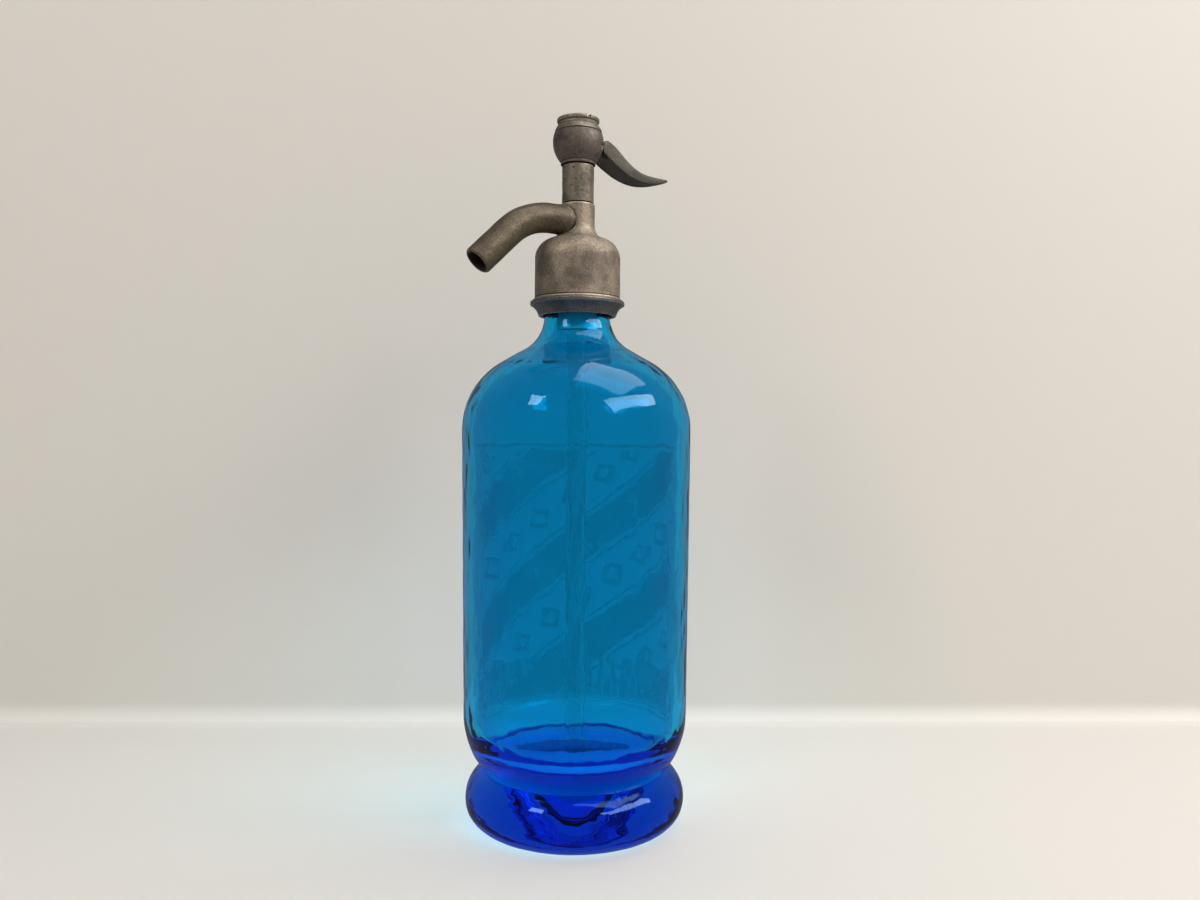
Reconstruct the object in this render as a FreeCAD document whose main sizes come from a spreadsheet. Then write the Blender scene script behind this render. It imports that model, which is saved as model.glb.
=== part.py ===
import FreeCAD, Part
import math
import os
import Sketcher

# Soda siphon: a blown glass bottle with a thick foot, and a cast pewter head with a
# spout, a thumb lever and a spring-closed valve. Millimetres. The origin is the centre
# of the ring that the foot rests on, +Z is up the bottle's axis, the spout points
# along -X, the lever along +X, and the lever's pin lies along Y.

SIZES = {
    # Bottle, outside
    "rest_radius": 38.6,
    "rest_width": 7.0,
    "punt_depth": 5.0,
    "foot_radius": 47.8,
    "foot_middle": 10.0,
    "foot_under_curve": 10.4,
    "foot_top_curve": 14.2,
    "crease_radius": 40.0,
    "crease_height": 24.0,
    "belly_radius": 48.8,
    "belly_height": 47.6,
    "belly_curve": 36.0,
    "wall_radius": 50.0,
    "shoulder_curve": 34.1,
    "shoulder_turn": 60.2,
    "neck_curve": 17.1,
    "neck_radius": 14.4,
    "neck_straight": 8.4,
    "bead_radius": 15.2,
    "bead_height": 8.0,
    "bottle_height": 237.8,
    # Bottle, inside
    "glass_wall": 4.9,
    "glass_floor": 33.0,
    "floor_curve": 14.0,
    # Neck ring and split collar
    "ring_foot_radius": 17.0,
    "ring_foot_height": 1.2,
    "ring_foot_flare": 0.4,
    "ring_cove_height": 3.7,
    "ring_cove_curve": 6.5,
    "flange_radius": 20.7,
    "flange_height": 1.8,
    "flange_round": 0.9,
    "ring_thread_radius": 17.3,
    "ring_thread_height": 9.0,
    "ledge_height": 2.9,
    "collar_wall": 1.8,
    "collar_height": 5.8,
    "collar_gap": 1.2,
    # Bell and stem
    "bell_lip_radius": 19.3,
    "bell_lip_height": 1.8,
    "bell_radius": 18.7,
    "bell_wall_height": 19.2,
    "bell_dome_radius": 11.6,
    "bell_dome_height": 27.2,
    "bell_dome_curve": 9.0,
    "stem_root_height": 33.0,
    "stem_root_curve": 6.5,
    "stem_radius": 7.4,
    "stem_top": 42.6,
    "joint_groove": 0.45,
    "spigot_radius": 5.5,
    "spigot_depth": 3.4,
    # Seat nipple, tube and seals
    "gasket_height": 2.4,
    "nipple_radius": 7.0,
    "nipple_height": 11.8,
    "orifice_radius": 2.2,
    "seat_radius": 3.9,
    "seat_height": 2.0,
    "seat_rim": 0.9,
    "socket_depth": 7.8,
    "tube_radius": 4.45,
    "tube_bore": 3.0,
    "tube_lift": 3.5,
    "seal_height": 1.5,
    "sleeve_radius": 8.6,
    "sleeve_height": 26.0,
    "chamber_radius": 4.9,
    # Spout
    "spout_radius": 6.35,
    "spout_bore": 4.2,
    "spout_height": 34.9,
    "spout_run": 14.0,
    "spout_bend": 28.3,
    "spout_drop": 42.0,
    "spout_tail": 19.6,
    # Column, packing and gland
    "column_radius": 6.95,
    "column_height": 16.8,
    "column_spigot_height": 2.9,
    "gland_radius": 4.6,
    "packing_floor": 0.2,
    "packing_height": 5.0,
    "gland_nut_height": 5.0,
    "nut_slot": 1.4,
    # Bulb and cap
    "bulb_collar_radius": 7.7,
    "bulb_collar_height": 1.5,
    "bulb_radius": 11.1,
    "bulb_middle": 11.2,
    "bulb_curve": 13.0,
    "bulb_rim_radius": 10.5,
    "bulb_height": 14.0,
    "bulb_room": 8.0,
    "cap_thread_radius": 8.5,
    "cap_thread_depth": 3.0,
    "washer_height": 0.6,
    "cap_foot_radius": 10.4,
    "cap_dome_height": 2.7,
    "cap_dome_curve": 6.0,
    "cap_waist_radius": 8.9,
    "cap_radius": 9.25,
    "cap_disc_height": 1.9,
    "cap_height": 5.9,
    "cap_edge": 0.4,
    "cap_top": 1.7,
    "cap_room": 6.9,
    "coin_slot_width": 2.2,
    "coin_slot_depth": 1.2,
    # Piston rod, head and valve
    "rod_radius": 2.4,
    "rod_foot_radius": 3.7,
    "rod_foot_height": 1.6,
    "valve_washer_radius": 3.6,
    "valve_washer_height": 2.0,
    "screw_radius": 0.9,
    "screw_head_radius": 1.6,
    "screw_head_height": 1.0,
    "screw_length": 6.0,
    "stud_radius": 1.6,
    "stud_height": 4.0,
    "head_shank_radius": 4.2,
    "head_shank_height": 4.5,
    "head_radius": 5.2,
    "head_floor": 1.0,
    "finger_room": 2.4,
    "head_roof": 1.4,
    # Spring
    "wire_radius": 0.4,
    "coil_radius": 4.0,
    "coil_turns": 4.5,
    # Lever and pin
    "pivot_reach": 7.5,
    "pivot_height": 7.8,
    "pin_radius": 1.3,
    "pin_length": 14.4,
    "eye_radius": 2.6,
    "finger_radius": 1.3,
    "finger_taper": 0.2,
    "finger_width": 5.0,
    "lever_cheek": 7.2,
    "cheek_blend": 0.6,
    "eye_under_curve": 2.9,
    "eye_top_curve": 3.4,
    "eye_rise": 0.6,
    "slot_width": 7.6,
    "slot_floor": 2.6,
    "slot_roof": 3.6,
    "blade_start": 12.0,
    "blade_brow": 1.4,
    "blade_brow_drop": 0.5,
    "blade_shoulder": 2.0,
    "blade_width": 12.6,
    "blade_middle_width": 9.6,
    "blade_tip_radius": 1.4,
    "blade_top_rise": 4.4,
    "blade_root_depth": 3.4,
    "blade_middle_reach": 32.5,
    "blade_middle_drop": 8.0,
    "blade_middle_thick": 4.2,
    "blade_reach": 46.8,
    "blade_tip_drop": 7.4,
    "blade_under_curve": 32.5,
    "blade_over_curve": 52.0,
    "blade_brow_curve": 32.5,
    "blade_side_curve": 140.0,
    "blade_nose_curve": 46.8,
    # Fits and cuts
    "running_gap": 0.05,
    "thread_gap": 0.1,
    "loose_gap": 0.3,
    "overcut": 1.0,
}

# A half round is drawn a hair over its radius, which leaves one place for its centre
HALF_ROUND = 1.0001


class Length:
    """A number together with the formula that the document uses for it."""

    def __init__(self, number, formula):
        self.number = number
        self.formula = formula

    def join(self, other, sign, number):
        text = other.formula if isinstance(other, Length) else str(other)
        return Length(number, f"({self.formula} {sign} {text})")

    def __add__(self, other):
        return self.join(other, "+", self.number + number_of(other))

    def __sub__(self, other):
        return self.join(other, "-", self.number - number_of(other))

    def __mul__(self, other):
        return self.join(other, "*", self.number * number_of(other))

    def __truediv__(self, other):
        return self.join(other, "/", self.number / number_of(other))


def number_of(value):
    return value.number if isinstance(value, Length) else float(value)


def square_root(value):
    return Length(math.sqrt(value.number), f"sqrt({value.formula})")


doc = FreeCAD.newDocument("SodaSiphon")


def fill_sheet():
    """Writes every driving size to the sheet, one alias to a row."""
    sheet = doc.addObject("Spreadsheet::Sheet", "Sizes")
    for row, (alias, number) in enumerate(SIZES.items(), start=1):
        sheet.set(f"A{row}", alias)
        sheet.set(f"B{row}", str(number))
        sheet.setAlias(f"B{row}", alias)
    doc.recompute()
    return sheet


class Sizes:
    """Reads a size from the sheet by its alias, as size.bead_radius."""

    def __init__(self, sheet):
        self.sheet = sheet

    def __getattr__(self, alias):
        return Length(float(self.sheet.get(alias)), f"Sizes.{alias}")


size = Sizes(fill_sheet())
NONE = Length(0.0, "0")

pieces = []


def keep(piece, label):
    """Names a finished piece after its node and lists it for the export."""
    piece.Label = label
    pieces.append(piece)
    return piece


def place(piece, x=None, z=None):
    """Sets a piece down by formulas for its X and Z."""
    if x is not None:
        piece.setExpression("Placement.Base.x", x.formula)
    if z is not None:
        piece.setExpression("Placement.Base.z", z.formula)
    return piece


def origin_plane(body, role):
    return next(plane for plane in body.Origin.OriginFeatures if plane.Role == role)


def new_sketch(body, role, name):
    sketch = body.newObject("Sketcher::SketchObject", name)
    sketch.AttachmentSupport = [(origin_plane(body, role), "")]
    sketch.MapMode = "FlatFace"
    return sketch


def bind(sketch, constraint, length, name):
    """Adds a dimension and ties it to its formula."""
    index = sketch.addConstraint(constraint)
    sketch.renameConstraint(index, name)
    sketch.setExpression(f"Constraints.{name}", length.formula)


def pin_point(sketch, edge, end, across, up, name):
    """Fixes one end of an edge at (across, up) from the sketch's origin."""
    for length, kind, axis, tag in ((across, "DistanceX", -2, "x"), (up, "DistanceY", -1, "y")):
        if length is NONE:
            sketch.addConstraint(Sketcher.Constraint("PointOnObject", edge, end, axis))
            continue
        value = length.number
        bind(sketch, Sketcher.Constraint(kind, -1, 1, edge, end, value), length, f"{name}{tag}")


def arc_between(start, end, radius):
    """The short arc from start to end. A positive radius bulges to the right of the way."""
    chord = end - start
    half = chord.Length / 2
    rise = math.sqrt(max(radius * radius - half * half, 0.0))
    left = FreeCAD.Vector(-chord.y, chord.x, 0).normalize()
    centre = start + chord * 0.5 + left * math.copysign(rise, radius)
    circle = Part.Circle(centre, FreeCAD.Vector(0, 0, 1), abs(radius))
    first, last = (start, end) if radius > 0 else (end, start)
    angles = [math.atan2(point.y - centre.y, point.x - centre.x) for point in (first, last)]
    if angles[1] < angles[0]:
        angles[1] += 2 * math.pi
    return Part.ArcOfCircle(circle, angles[0], angles[1]), radius > 0


def draw_outline(sketch, outline, name="p"):
    """Draws a closed outline of points (across, up), or (across, up, radius, side).

    The radius makes the way to that point an arc, and its side is +1 where the arc
    bulges to the right of the way and -1 where it bulges to the left.
    """
    points = [FreeCAD.Vector(corner[0].number, corner[1].number, 0) for corner in outline]
    ends = []
    for index, corner in enumerate(outline):
        start = points[index - 1]
        end = points[index]
        if len(corner) == 2:
            edge = sketch.addGeometry(Part.LineSegment(start, end), False)
            ends.append((edge, 1, 2))
            continue
        radius, side = corner[2], corner[3]
        arc, forward = arc_between(start, end, side * radius.number)
        edge = sketch.addGeometry(arc, False)
        ends.append((edge, 1, 2) if forward else (edge, 2, 1))
        bind(sketch, Sketcher.Constraint("Radius", edge, radius.number), radius, f"{name}{index}r")
    for index, corner in enumerate(outline):
        edge, head, tail = ends[index]
        after, first, last = ends[(index + 1) % len(ends)]
        sketch.addConstraint(Sketcher.Constraint("Coincident", edge, tail, after, first))
        pin_point(sketch, edge, tail, corner[0], corner[1], f"{name}{index}")


def revolve(body, sketch):
    turned = body.newObject("PartDesign::Revolution", "Turned")
    turned.Profile = sketch
    turned.ReferenceAxis = (sketch, ["V_Axis"])
    turned.Angle = 360.0
    sketch.Visibility = False
    return turned


def turned_body(name, outline):
    """A body of revolution about its own Z axis, from an outline of (radius, height)."""
    body = doc.addObject("PartDesign::Body", name)
    sketch = new_sketch(body, "XZ_Plane", name + "Outline")
    draw_outline(sketch, outline)
    revolve(body, sketch)
    return body


def slot_across(body, name, outline, role="YZ_Plane"):
    """Cuts an outline through a body, both ways from the plane that it is drawn on."""
    sketch = new_sketch(body, role, name + "Outline")
    draw_outline(sketch, outline)
    pocket = body.newObject("PartDesign::Pocket", name)
    pocket.Profile = sketch
    pocket.Type = "ThroughAll"
    pocket.Midplane = True
    sketch.Visibility = False
    return pocket


def rectangle(left, bottom, right, top):
    return [(left, bottom), (right, bottom), (right, top), (left, top)]


def ring(name, label, bore, radius, height, base):
    """A plain washer, seal or sleeve with its lower face at base."""
    body = turned_body(name, rectangle(bore, NONE, radius, height))
    return keep(place(body, z=base), label)


# Heights that several pieces share, worked out from the bottle up

bore_radius = size.neck_radius - size.glass_wall
bead_base = size.bottle_height - size.bead_height
collar_base = bead_base - size.collar_height
ring_base = collar_base - size.ledge_height
flange_top = size.ring_foot_height + size.ring_cove_height + size.flange_height
bell_base = ring_base + flange_top
gasket_base = size.bottle_height
bell_ceiling = gasket_base + size.gasket_height
nipple_base = bell_ceiling
nipple_top = nipple_base + size.nipple_height
seat_level = nipple_top + size.seat_height
column_base = bell_base + size.stem_top
packing_base = column_base + size.packing_floor
bulb_base = column_base + size.column_height
washer_base = bulb_base + size.bulb_height
cap_base = washer_base + size.washer_height
spout_level = bell_base + size.spout_height
rod_base = seat_level + size.valve_washer_height
pivot_level = bulb_base + size.pivot_height
slot_top = pivot_level + size.finger_radius + size.running_gap * 3
head_top = slot_top + size.head_roof
cap_ceiling = cap_base + size.cap_height - size.cap_top


# Bottle

def foot_and_belly():
    """The outside of the glass from the hollow under the foot to the top of the belly."""
    return [
        (NONE, size.punt_depth),
        (size.rest_radius - size.rest_width, NONE),
        (size.rest_radius, NONE),
        (size.foot_radius, size.foot_middle, size.foot_under_curve, 1),
        (size.crease_radius, size.crease_height, size.foot_top_curve, 1),
        (size.belly_radius, size.belly_height, size.belly_curve, 1),
    ]


def shoulder_points(wall_radius, neck_line, curve, flare):
    """Corners of the shoulder for the wall and neck given, each curve a tangent arc.

    The turn is fixed, so the straight between the curves takes up what is left. The
    shoulder hangs from the neck, which ends the neck's straight below the bead.
    """
    turn = math.radians(size.shoulder_turn.number)
    cos_turn = Length(math.cos(turn), "cos(Sizes.shoulder_turn * 1 deg)")
    sin_turn = Length(math.sin(turn), "sin(Sizes.shoulder_turn * 1 deg)")
    one = Length(1.0, "1")
    drawn_in = curve * (one - cos_turn)
    flared = flare * (one - cos_turn)
    slope_run = wall_radius - neck_line - drawn_in - flared
    slope_rise = slope_run * cos_turn / sin_turn
    top = bead_base - size.neck_straight
    slope_top = top - flare * sin_turn
    slope_base = slope_top - slope_rise
    return [
        (wall_radius, slope_base - curve * sin_turn),
        (wall_radius - drawn_in, slope_base, curve, 1),
        (wall_radius - drawn_in - slope_run, slope_top),
        (neck_line, top, flare, -1),
    ]


def bottle():
    body = doc.addObject("PartDesign::Body", "Bottle")
    sketch = new_sketch(body, "XZ_Plane", "BottleOutline")
    wall = size.glass_wall
    outside = foot_and_belly()
    outside += shoulder_points(
        size.wall_radius, size.neck_radius, size.shoulder_curve, size.neck_curve)
    outside += [
        (size.neck_radius, bead_base),
        (size.bead_radius, bead_base),
        (size.bead_radius, size.bottle_height),
        (bore_radius, size.bottle_height),
    ]
    inside = shoulder_points(
        size.wall_radius - wall, bore_radius, size.shoulder_curve - wall, size.neck_curve + wall)
    inside.reverse()
    # The ways run downwards here, so each curve belongs to the corner that it now reaches
    inside = [
        (inside[0][0], inside[0][1]),
        (inside[1][0], inside[1][1], size.neck_curve + wall, 1),
        (inside[2][0], inside[2][1]),
        (inside[3][0], inside[3][1], size.shoulder_curve - wall, -1),
        (size.belly_radius - wall, size.glass_floor + size.floor_curve),
        (size.belly_radius - wall - size.floor_curve, size.glass_floor, size.floor_curve, -1),
        (NONE, size.glass_floor),
    ]
    draw_outline(sketch, outside + inside)
    revolve(body, sketch)
    return keep(body, "bottle")


bottle()


# Neck clamp: a screwed ring that lifts a split collar against the bead of the glass

def neck_ring():
    ledge_bore = size.bead_radius + size.thread_gap
    room = size.neck_radius + size.collar_wall + size.thread_gap * 2
    cove_top = size.ring_foot_height + size.ring_cove_height
    rim = size.flange_round
    body = turned_body("NeckRing", [
        (ledge_bore, NONE),
        (size.ring_foot_radius, NONE),
        (size.ring_foot_radius + size.ring_foot_flare, size.ring_foot_height),
        (size.flange_radius, cove_top, size.ring_cove_curve, -1),
        (size.flange_radius, flange_top - rim),
        (size.flange_radius - rim, flange_top, rim, 1),
        (size.ring_thread_radius, flange_top),
        (size.ring_thread_radius, flange_top + size.ring_thread_height),
        (room, flange_top + size.ring_thread_height),
        (room, size.ledge_height),
        (ledge_bore, size.ledge_height),
    ])
    return keep(place(body, z=ring_base), "neck_ring")


def collar_half(name, label, side):
    """Half of the split collar, a padded half ring on one side of the XZ plane."""
    body = doc.addObject("PartDesign::Body", name)
    sketch = new_sketch(body, "XY_Plane", name + "Outline")
    bore = size.neck_radius + size.thread_gap
    rim = bore + size.collar_wall
    gap = size.collar_gap / 2
    centre = FreeCAD.Vector(0, 0, 0)
    up = FreeCAD.Vector(0, 0, 1)
    # The arcs start near where the dimensions will put their ends
    near = 0.05
    start, end = (near, math.pi - near) if side > 0 else (math.pi + near, 2 * math.pi - near)
    arcs = [Part.ArcOfCircle(Part.Circle(centre, up, radius.number), start, end)
            for radius in (bore, rim)]
    inner = sketch.addGeometry(arcs[0], False)
    outer = sketch.addGeometry(arcs[1], False)
    for edge, radius, tag in ((inner, bore, "bore"), (outer, rim, "rim")):
        sketch.addConstraint(Sketcher.Constraint("Coincident", edge, 3, -1, 1))
        bind(sketch, Sketcher.Constraint("Radius", edge, radius.number), radius, tag)
        for end_number in (1, 2):
            level = Sketcher.Constraint("DistanceY", -1, 1, edge, end_number, side * gap.number)
            signed = gap if side > 0 else NONE - gap
            bind(sketch, level, signed, f"{tag}{end_number}")
    for end_number in (1, 2):
        points = [arc.StartPoint if end_number == 1 else arc.EndPoint for arc in arcs]
        edge = sketch.addGeometry(Part.LineSegment(points[0], points[1]), False)
        sketch.addConstraint(Sketcher.Constraint("Coincident", edge, 1, inner, end_number))
        sketch.addConstraint(Sketcher.Constraint("Coincident", edge, 2, outer, end_number))
    pad = body.newObject("PartDesign::Pad", name + "Pad")
    pad.Profile = sketch
    pad.setExpression("Length", size.collar_height.formula)
    sketch.Visibility = False
    return keep(place(body, z=collar_base), label)


neck_ring()
collar_half("CollarFront", "collar_half_front", -1)
collar_half("CollarBack", "collar_half_back", 1)
ring("NeckGasket", "neck_gasket", bore_radius + size.thread_gap,
     size.ring_thread_radius - size.loose_gap, size.gasket_height, gasket_base)


# Bell, with the stem that carries the spout and the column

bell_outside = [
    (size.bell_lip_radius, NONE),
    (size.bell_lip_radius, size.bell_lip_height),
    (size.bell_radius, size.bell_lip_height + size.bell_lip_radius - size.bell_radius),
    (size.bell_radius, size.bell_wall_height),
    (size.bell_dome_radius, size.bell_dome_height, size.bell_dome_curve, 1),
    (size.stem_radius, size.stem_root_height, size.stem_root_curve, -1),
    (size.stem_radius, size.stem_top - size.joint_groove),
    (size.stem_radius - size.joint_groove, size.stem_top),
]


def bell_envelope():
    """The bell with nothing taken out, which the spout's foot is cut to fit."""
    body = turned_body("BellEnvelope", bell_outside + [(NONE, size.stem_top), (NONE, NONE)])
    body.Visibility = False
    return place(body, z=bell_base)


def bell():
    skirt_bore = size.ring_thread_radius + size.thread_gap
    ceiling = bell_ceiling - bell_base
    shelf = nipple_top - bell_base
    nipple_bore = size.nipple_radius + size.running_gap
    spigot_bore = size.spigot_radius + size.running_gap
    inside = [
        (spigot_bore, size.stem_top),
        (spigot_bore, size.stem_top - size.spigot_depth),
        (size.chamber_radius, size.stem_top - size.spigot_depth),
        (size.chamber_radius, shelf),
        (nipple_bore, shelf),
        (nipple_bore, ceiling),
        (skirt_bore, ceiling),
        (skirt_bore, NONE),
    ]
    body = turned_body("Bell", bell_outside + inside)
    sketch = new_sketch(body, "YZ_Plane", "SpoutWay")
    circle = Part.Circle(
        FreeCAD.Vector(0, size.spout_height.number, 0), FreeCAD.Vector(0, 0, 1),
        size.spout_bore.number)
    edge = sketch.addGeometry(circle, False)
    pin_point(sketch, edge, 3, NONE, size.spout_height, "way")
    bind(sketch, Sketcher.Constraint("Radius", edge, size.spout_bore.number), size.spout_bore, "wayr")
    pocket = body.newObject("PartDesign::Pocket", "SpoutWayCut")
    pocket.Profile = sketch
    pocket.Type = "Length"
    pocket.setExpression("Length", (size.stem_radius * 3).formula)
    sketch.Visibility = False
    return keep(place(body, z=bell_base), "bell")


envelope = bell_envelope()
bell()


# Water way: dip tube, its sleeve and seal, and the nipple that holds the valve seat

def dip_tube():
    length = nipple_base + size.socket_depth - size.seal_height
    base = size.glass_floor + size.tube_lift
    return ring("DipTube", "dip_tube", size.tube_bore, size.tube_radius, length - base, base)


def valve_seat():
    socket = size.tube_radius + size.loose_gap
    body = turned_body("ValveSeat", [
        (socket, NONE),
        (size.nipple_radius, NONE),
        (size.nipple_radius, size.nipple_height),
        (size.seat_radius, size.nipple_height),
        (size.orifice_radius + size.seat_rim, size.nipple_height + size.seat_height),
        (size.orifice_radius, size.nipple_height + size.seat_height),
        (size.orifice_radius, size.socket_depth),
        (socket, size.socket_depth),
    ])
    return keep(place(body, z=nipple_base), "valve_seat")


dip_tube()
ring("TubeSleeve", "tube_sleeve", size.tube_radius + size.running_gap, size.sleeve_radius,
     size.sleeve_height, nipple_base - size.sleeve_height)
ring("TubeSeal", "tube_seal", size.tube_bore, size.tube_radius,
     size.seal_height, nipple_base + size.socket_depth - size.seal_height)
valve_seat()


# Spout: a bent pipe with its foot cut to the stem and the bell

def pipe_path(body, name):
    """The spout's centre line in the XZ plane: level, one bend down, then straight."""
    sketch = new_sketch(body, "XZ_Plane", name)
    drop = math.radians(size.spout_drop.number)
    run, bend, tail = size.spout_run.number, size.spout_bend.number, size.spout_tail.number
    corner = FreeCAD.Vector(-run, 0, 0)
    centre = FreeCAD.Vector(-run, -bend, 0)
    arc = Part.ArcOfCircle(Part.Circle(centre, FreeCAD.Vector(0, 0, 1), bend),
                           math.pi / 2, math.pi / 2 + drop)
    low = centre + FreeCAD.Vector(-math.sin(drop), math.cos(drop), 0) * bend
    mouth = low + FreeCAD.Vector(-math.cos(drop), -math.sin(drop), 0) * tail
    level = sketch.addGeometry(Part.LineSegment(FreeCAD.Vector(0, 0, 0), corner), False)
    curve = sketch.addGeometry(arc, False)
    end = sketch.addGeometry(Part.LineSegment(low, mouth), False)
    sketch.addConstraint(Sketcher.Constraint("Coincident", level, 1, -1, 1))
    sketch.addConstraint(Sketcher.Constraint("Horizontal", level))
    sketch.addConstraint(Sketcher.Constraint("Tangent", level, 2, curve, 1))
    sketch.addConstraint(Sketcher.Constraint("Tangent", curve, 2, end, 1))
    bind(sketch, Sketcher.Constraint("Distance", level, run), size.spout_run, "run")
    bind(sketch, Sketcher.Constraint("Radius", curve, bend), size.spout_bend, "bend")
    bind(sketch, Sketcher.Constraint("Distance", end, tail), size.spout_tail, "tail")
    angle = Sketcher.Constraint("Angle", -1, 1, end, 1, math.pi + drop)
    index = sketch.addConstraint(angle)
    sketch.renameConstraint(index, "drop")
    sketch.setExpression("Constraints.drop", "(180 + Sizes.spout_drop) * 1 deg")
    sketch.Visibility = False
    return sketch


def pipe(name, radius):
    """A round bar along the spout's centre line."""
    body = doc.addObject("PartDesign::Body", name)
    path = pipe_path(body, name + "Path")
    section = new_sketch(body, "YZ_Plane", name + "Section")
    edge = section.addGeometry(
        Part.Circle(FreeCAD.Vector(0, 0, 0), FreeCAD.Vector(0, 0, 1), radius.number), False)
    section.addConstraint(Sketcher.Constraint("Coincident", edge, 3, -1, 1))
    bind(section, Sketcher.Constraint("Radius", edge, radius.number), radius, "sectionRadius")
    sweep = body.newObject("PartDesign::AdditivePipe", name + "Sweep")
    sweep.Profile = section
    sweep.Spine = path
    section.Visibility = False
    body.Visibility = False
    return place(body, z=spout_level)


def spout():
    bar = pipe("SpoutBar", size.spout_radius)
    core = pipe("SpoutCore", size.spout_bore)
    hollow = doc.addObject("Part::Cut", "SpoutTube")
    hollow.Base = bar
    hollow.Tool = core
    hollow.Visibility = False
    fitted = doc.addObject("Part::Cut", "Spout")
    fitted.Base = hollow
    fitted.Tool = envelope
    return keep(fitted, "spout")


spout()


# Column over the stem, with the packing that the rod slides in

def column():
    rod_hole = size.rod_radius + size.running_gap
    spigot = size.spigot_radius
    foot = size.spigot_depth - size.thread_gap
    shelf = foot + size.packing_floor
    top = foot + size.column_height
    groove = size.joint_groove
    body = turned_body("Column", [
        (rod_hole, NONE),
        (spigot, NONE),
        (spigot, foot),
        (size.column_radius - groove, foot),
        (size.column_radius, foot + groove),
        (size.column_radius, top - groove),
        (size.column_radius - groove, top),
        (spigot, top),
        (spigot, top + size.column_spigot_height),
        (size.gland_radius, top + size.column_spigot_height),
        (size.gland_radius, shelf),
        (rod_hole, shelf),
    ])
    return keep(place(body, z=column_base - foot), "column")


def gland_nut():
    """Screwed plug over the packing, slotted across for a flat driver."""
    body = turned_body("GlandNut", rectangle(
        size.rod_radius + size.running_gap, NONE,
        size.gland_radius - size.running_gap, size.gland_nut_height))
    half = size.nut_slot / 2
    slot_across(body, "DriverSlot", rectangle(
        NONE - half, size.gland_nut_height - size.nut_slot,
        half, size.gland_nut_height + size.overcut))
    base = packing_base + size.packing_height
    return keep(place(body, z=base), "gland_nut")


column()
ring("PackingRing", "packing_ring", size.rod_radius + size.running_gap,
     size.gland_radius - size.running_gap, size.packing_height, packing_base)
gland_nut()


# Bulb that houses the lever's pivot, its washer and the screw cap

def bulb():
    spigot_bore = size.spigot_radius + size.running_gap
    thread_bore = size.cap_thread_radius + size.thread_gap
    throat = size.bulb_height - size.cap_thread_depth - size.thread_gap
    floor = size.column_spigot_height + size.thread_gap
    body = turned_body("Bulb", [
        (spigot_bore, NONE),
        (size.bulb_collar_radius - size.joint_groove, NONE),
        (size.bulb_collar_radius, size.joint_groove),
        (size.bulb_collar_radius, size.bulb_collar_height),
        (size.bulb_radius, size.bulb_middle, size.bulb_curve, 1),
        (size.bulb_rim_radius, size.bulb_height, size.bulb_curve, 1),
        (thread_bore, size.bulb_height),
        (thread_bore, throat),
        (size.bulb_room, throat),
        (size.bulb_room, floor),
        (spigot_bore, floor),
    ])
    half = size.slot_width / 2
    sketch = new_sketch(body, "YZ_Plane", "LeverSlotOutline")
    low = size.pivot_height - size.slot_floor - size.eye_radius / 2
    draw_outline(sketch, rectangle(NONE - half, low, half, size.pivot_height + size.slot_roof))
    slot = body.newObject("PartDesign::Pocket", "LeverSlot")
    slot.Profile = sketch
    slot.setExpression("Length", (size.bulb_radius * 2).formula)
    slot.Reversed = True
    sketch.Visibility = False
    bore = size.pin_radius + size.running_gap / 2
    drill = new_sketch(body, "XZ_Plane", "PinHoleOutline")
    edge = drill.addGeometry(Part.Circle(
        FreeCAD.Vector(size.pivot_reach.number, size.pivot_height.number, 0),
        FreeCAD.Vector(0, 0, 1), bore.number), False)
    pin_point(drill, edge, 3, size.pivot_reach, size.pivot_height, "pin")
    bind(drill, Sketcher.Constraint("Radius", edge, bore.number), bore, "pinr")
    hole = body.newObject("PartDesign::Pocket", "PinHole")
    hole.Profile = drill
    hole.Type = "ThroughAll"
    hole.Midplane = True
    drill.Visibility = False
    return keep(place(body, z=bulb_base), "bulb")


def cap():
    depth = size.cap_thread_depth
    top = depth + size.washer_height + size.cap_height
    foot = depth + size.washer_height
    disc = top - size.cap_disc_height
    dome = foot + size.cap_dome_height
    ceiling = top - size.cap_top
    body = turned_body("Cap", [
        (size.cap_room, NONE),
        (size.cap_thread_radius, NONE),
        (size.cap_thread_radius, foot),
        (size.cap_foot_radius, foot),
        (size.cap_waist_radius, dome, size.cap_dome_curve, 1),
        (size.cap_waist_radius, disc),
        (size.cap_radius, disc + size.cap_edge),
        (size.cap_radius, top - size.cap_edge),
        (size.cap_radius - size.cap_edge, top),
        (NONE, top),
        (NONE, ceiling),
        (size.cap_room, ceiling),
    ])
    half = size.coin_slot_width / 2
    slot_across(body, "CoinSlot", rectangle(
        NONE - half, top - size.coin_slot_depth, half, top + size.overcut), role="XZ_Plane")
    return keep(place(body, z=washer_base - depth), "cap")


bulb()
ring("CapWasher", "cap_washer", size.cap_thread_radius + size.thread_gap,
     size.bulb_rim_radius - size.loose_gap, size.washer_height, washer_base)
cap()


# Piston: rod, slotted head, valve washer and the screw that holds it

finger_floor = pivot_level - size.finger_radius - size.finger_room
head_shank_base = finger_floor - size.head_floor - size.head_shank_height


def piston_rod():
    shoulder = head_shank_base - rod_base
    hole = size.screw_radius + size.running_gap
    depth = size.screw_length - size.valve_washer_height + size.loose_gap
    foot_top = size.rod_foot_height + size.rod_foot_radius - size.rod_radius
    body = turned_body("PistonRod", [
        (NONE, depth),
        (hole, depth),
        (hole, NONE),
        (size.rod_foot_radius, NONE),
        (size.rod_foot_radius, size.rod_foot_height),
        (size.rod_radius, foot_top),
        (size.rod_radius, shoulder),
        (size.stud_radius, shoulder),
        (size.stud_radius, shoulder + size.stud_height),
        (NONE, shoulder + size.stud_height),
    ])
    return keep(place(body, z=rod_base), "piston_rod")


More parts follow.
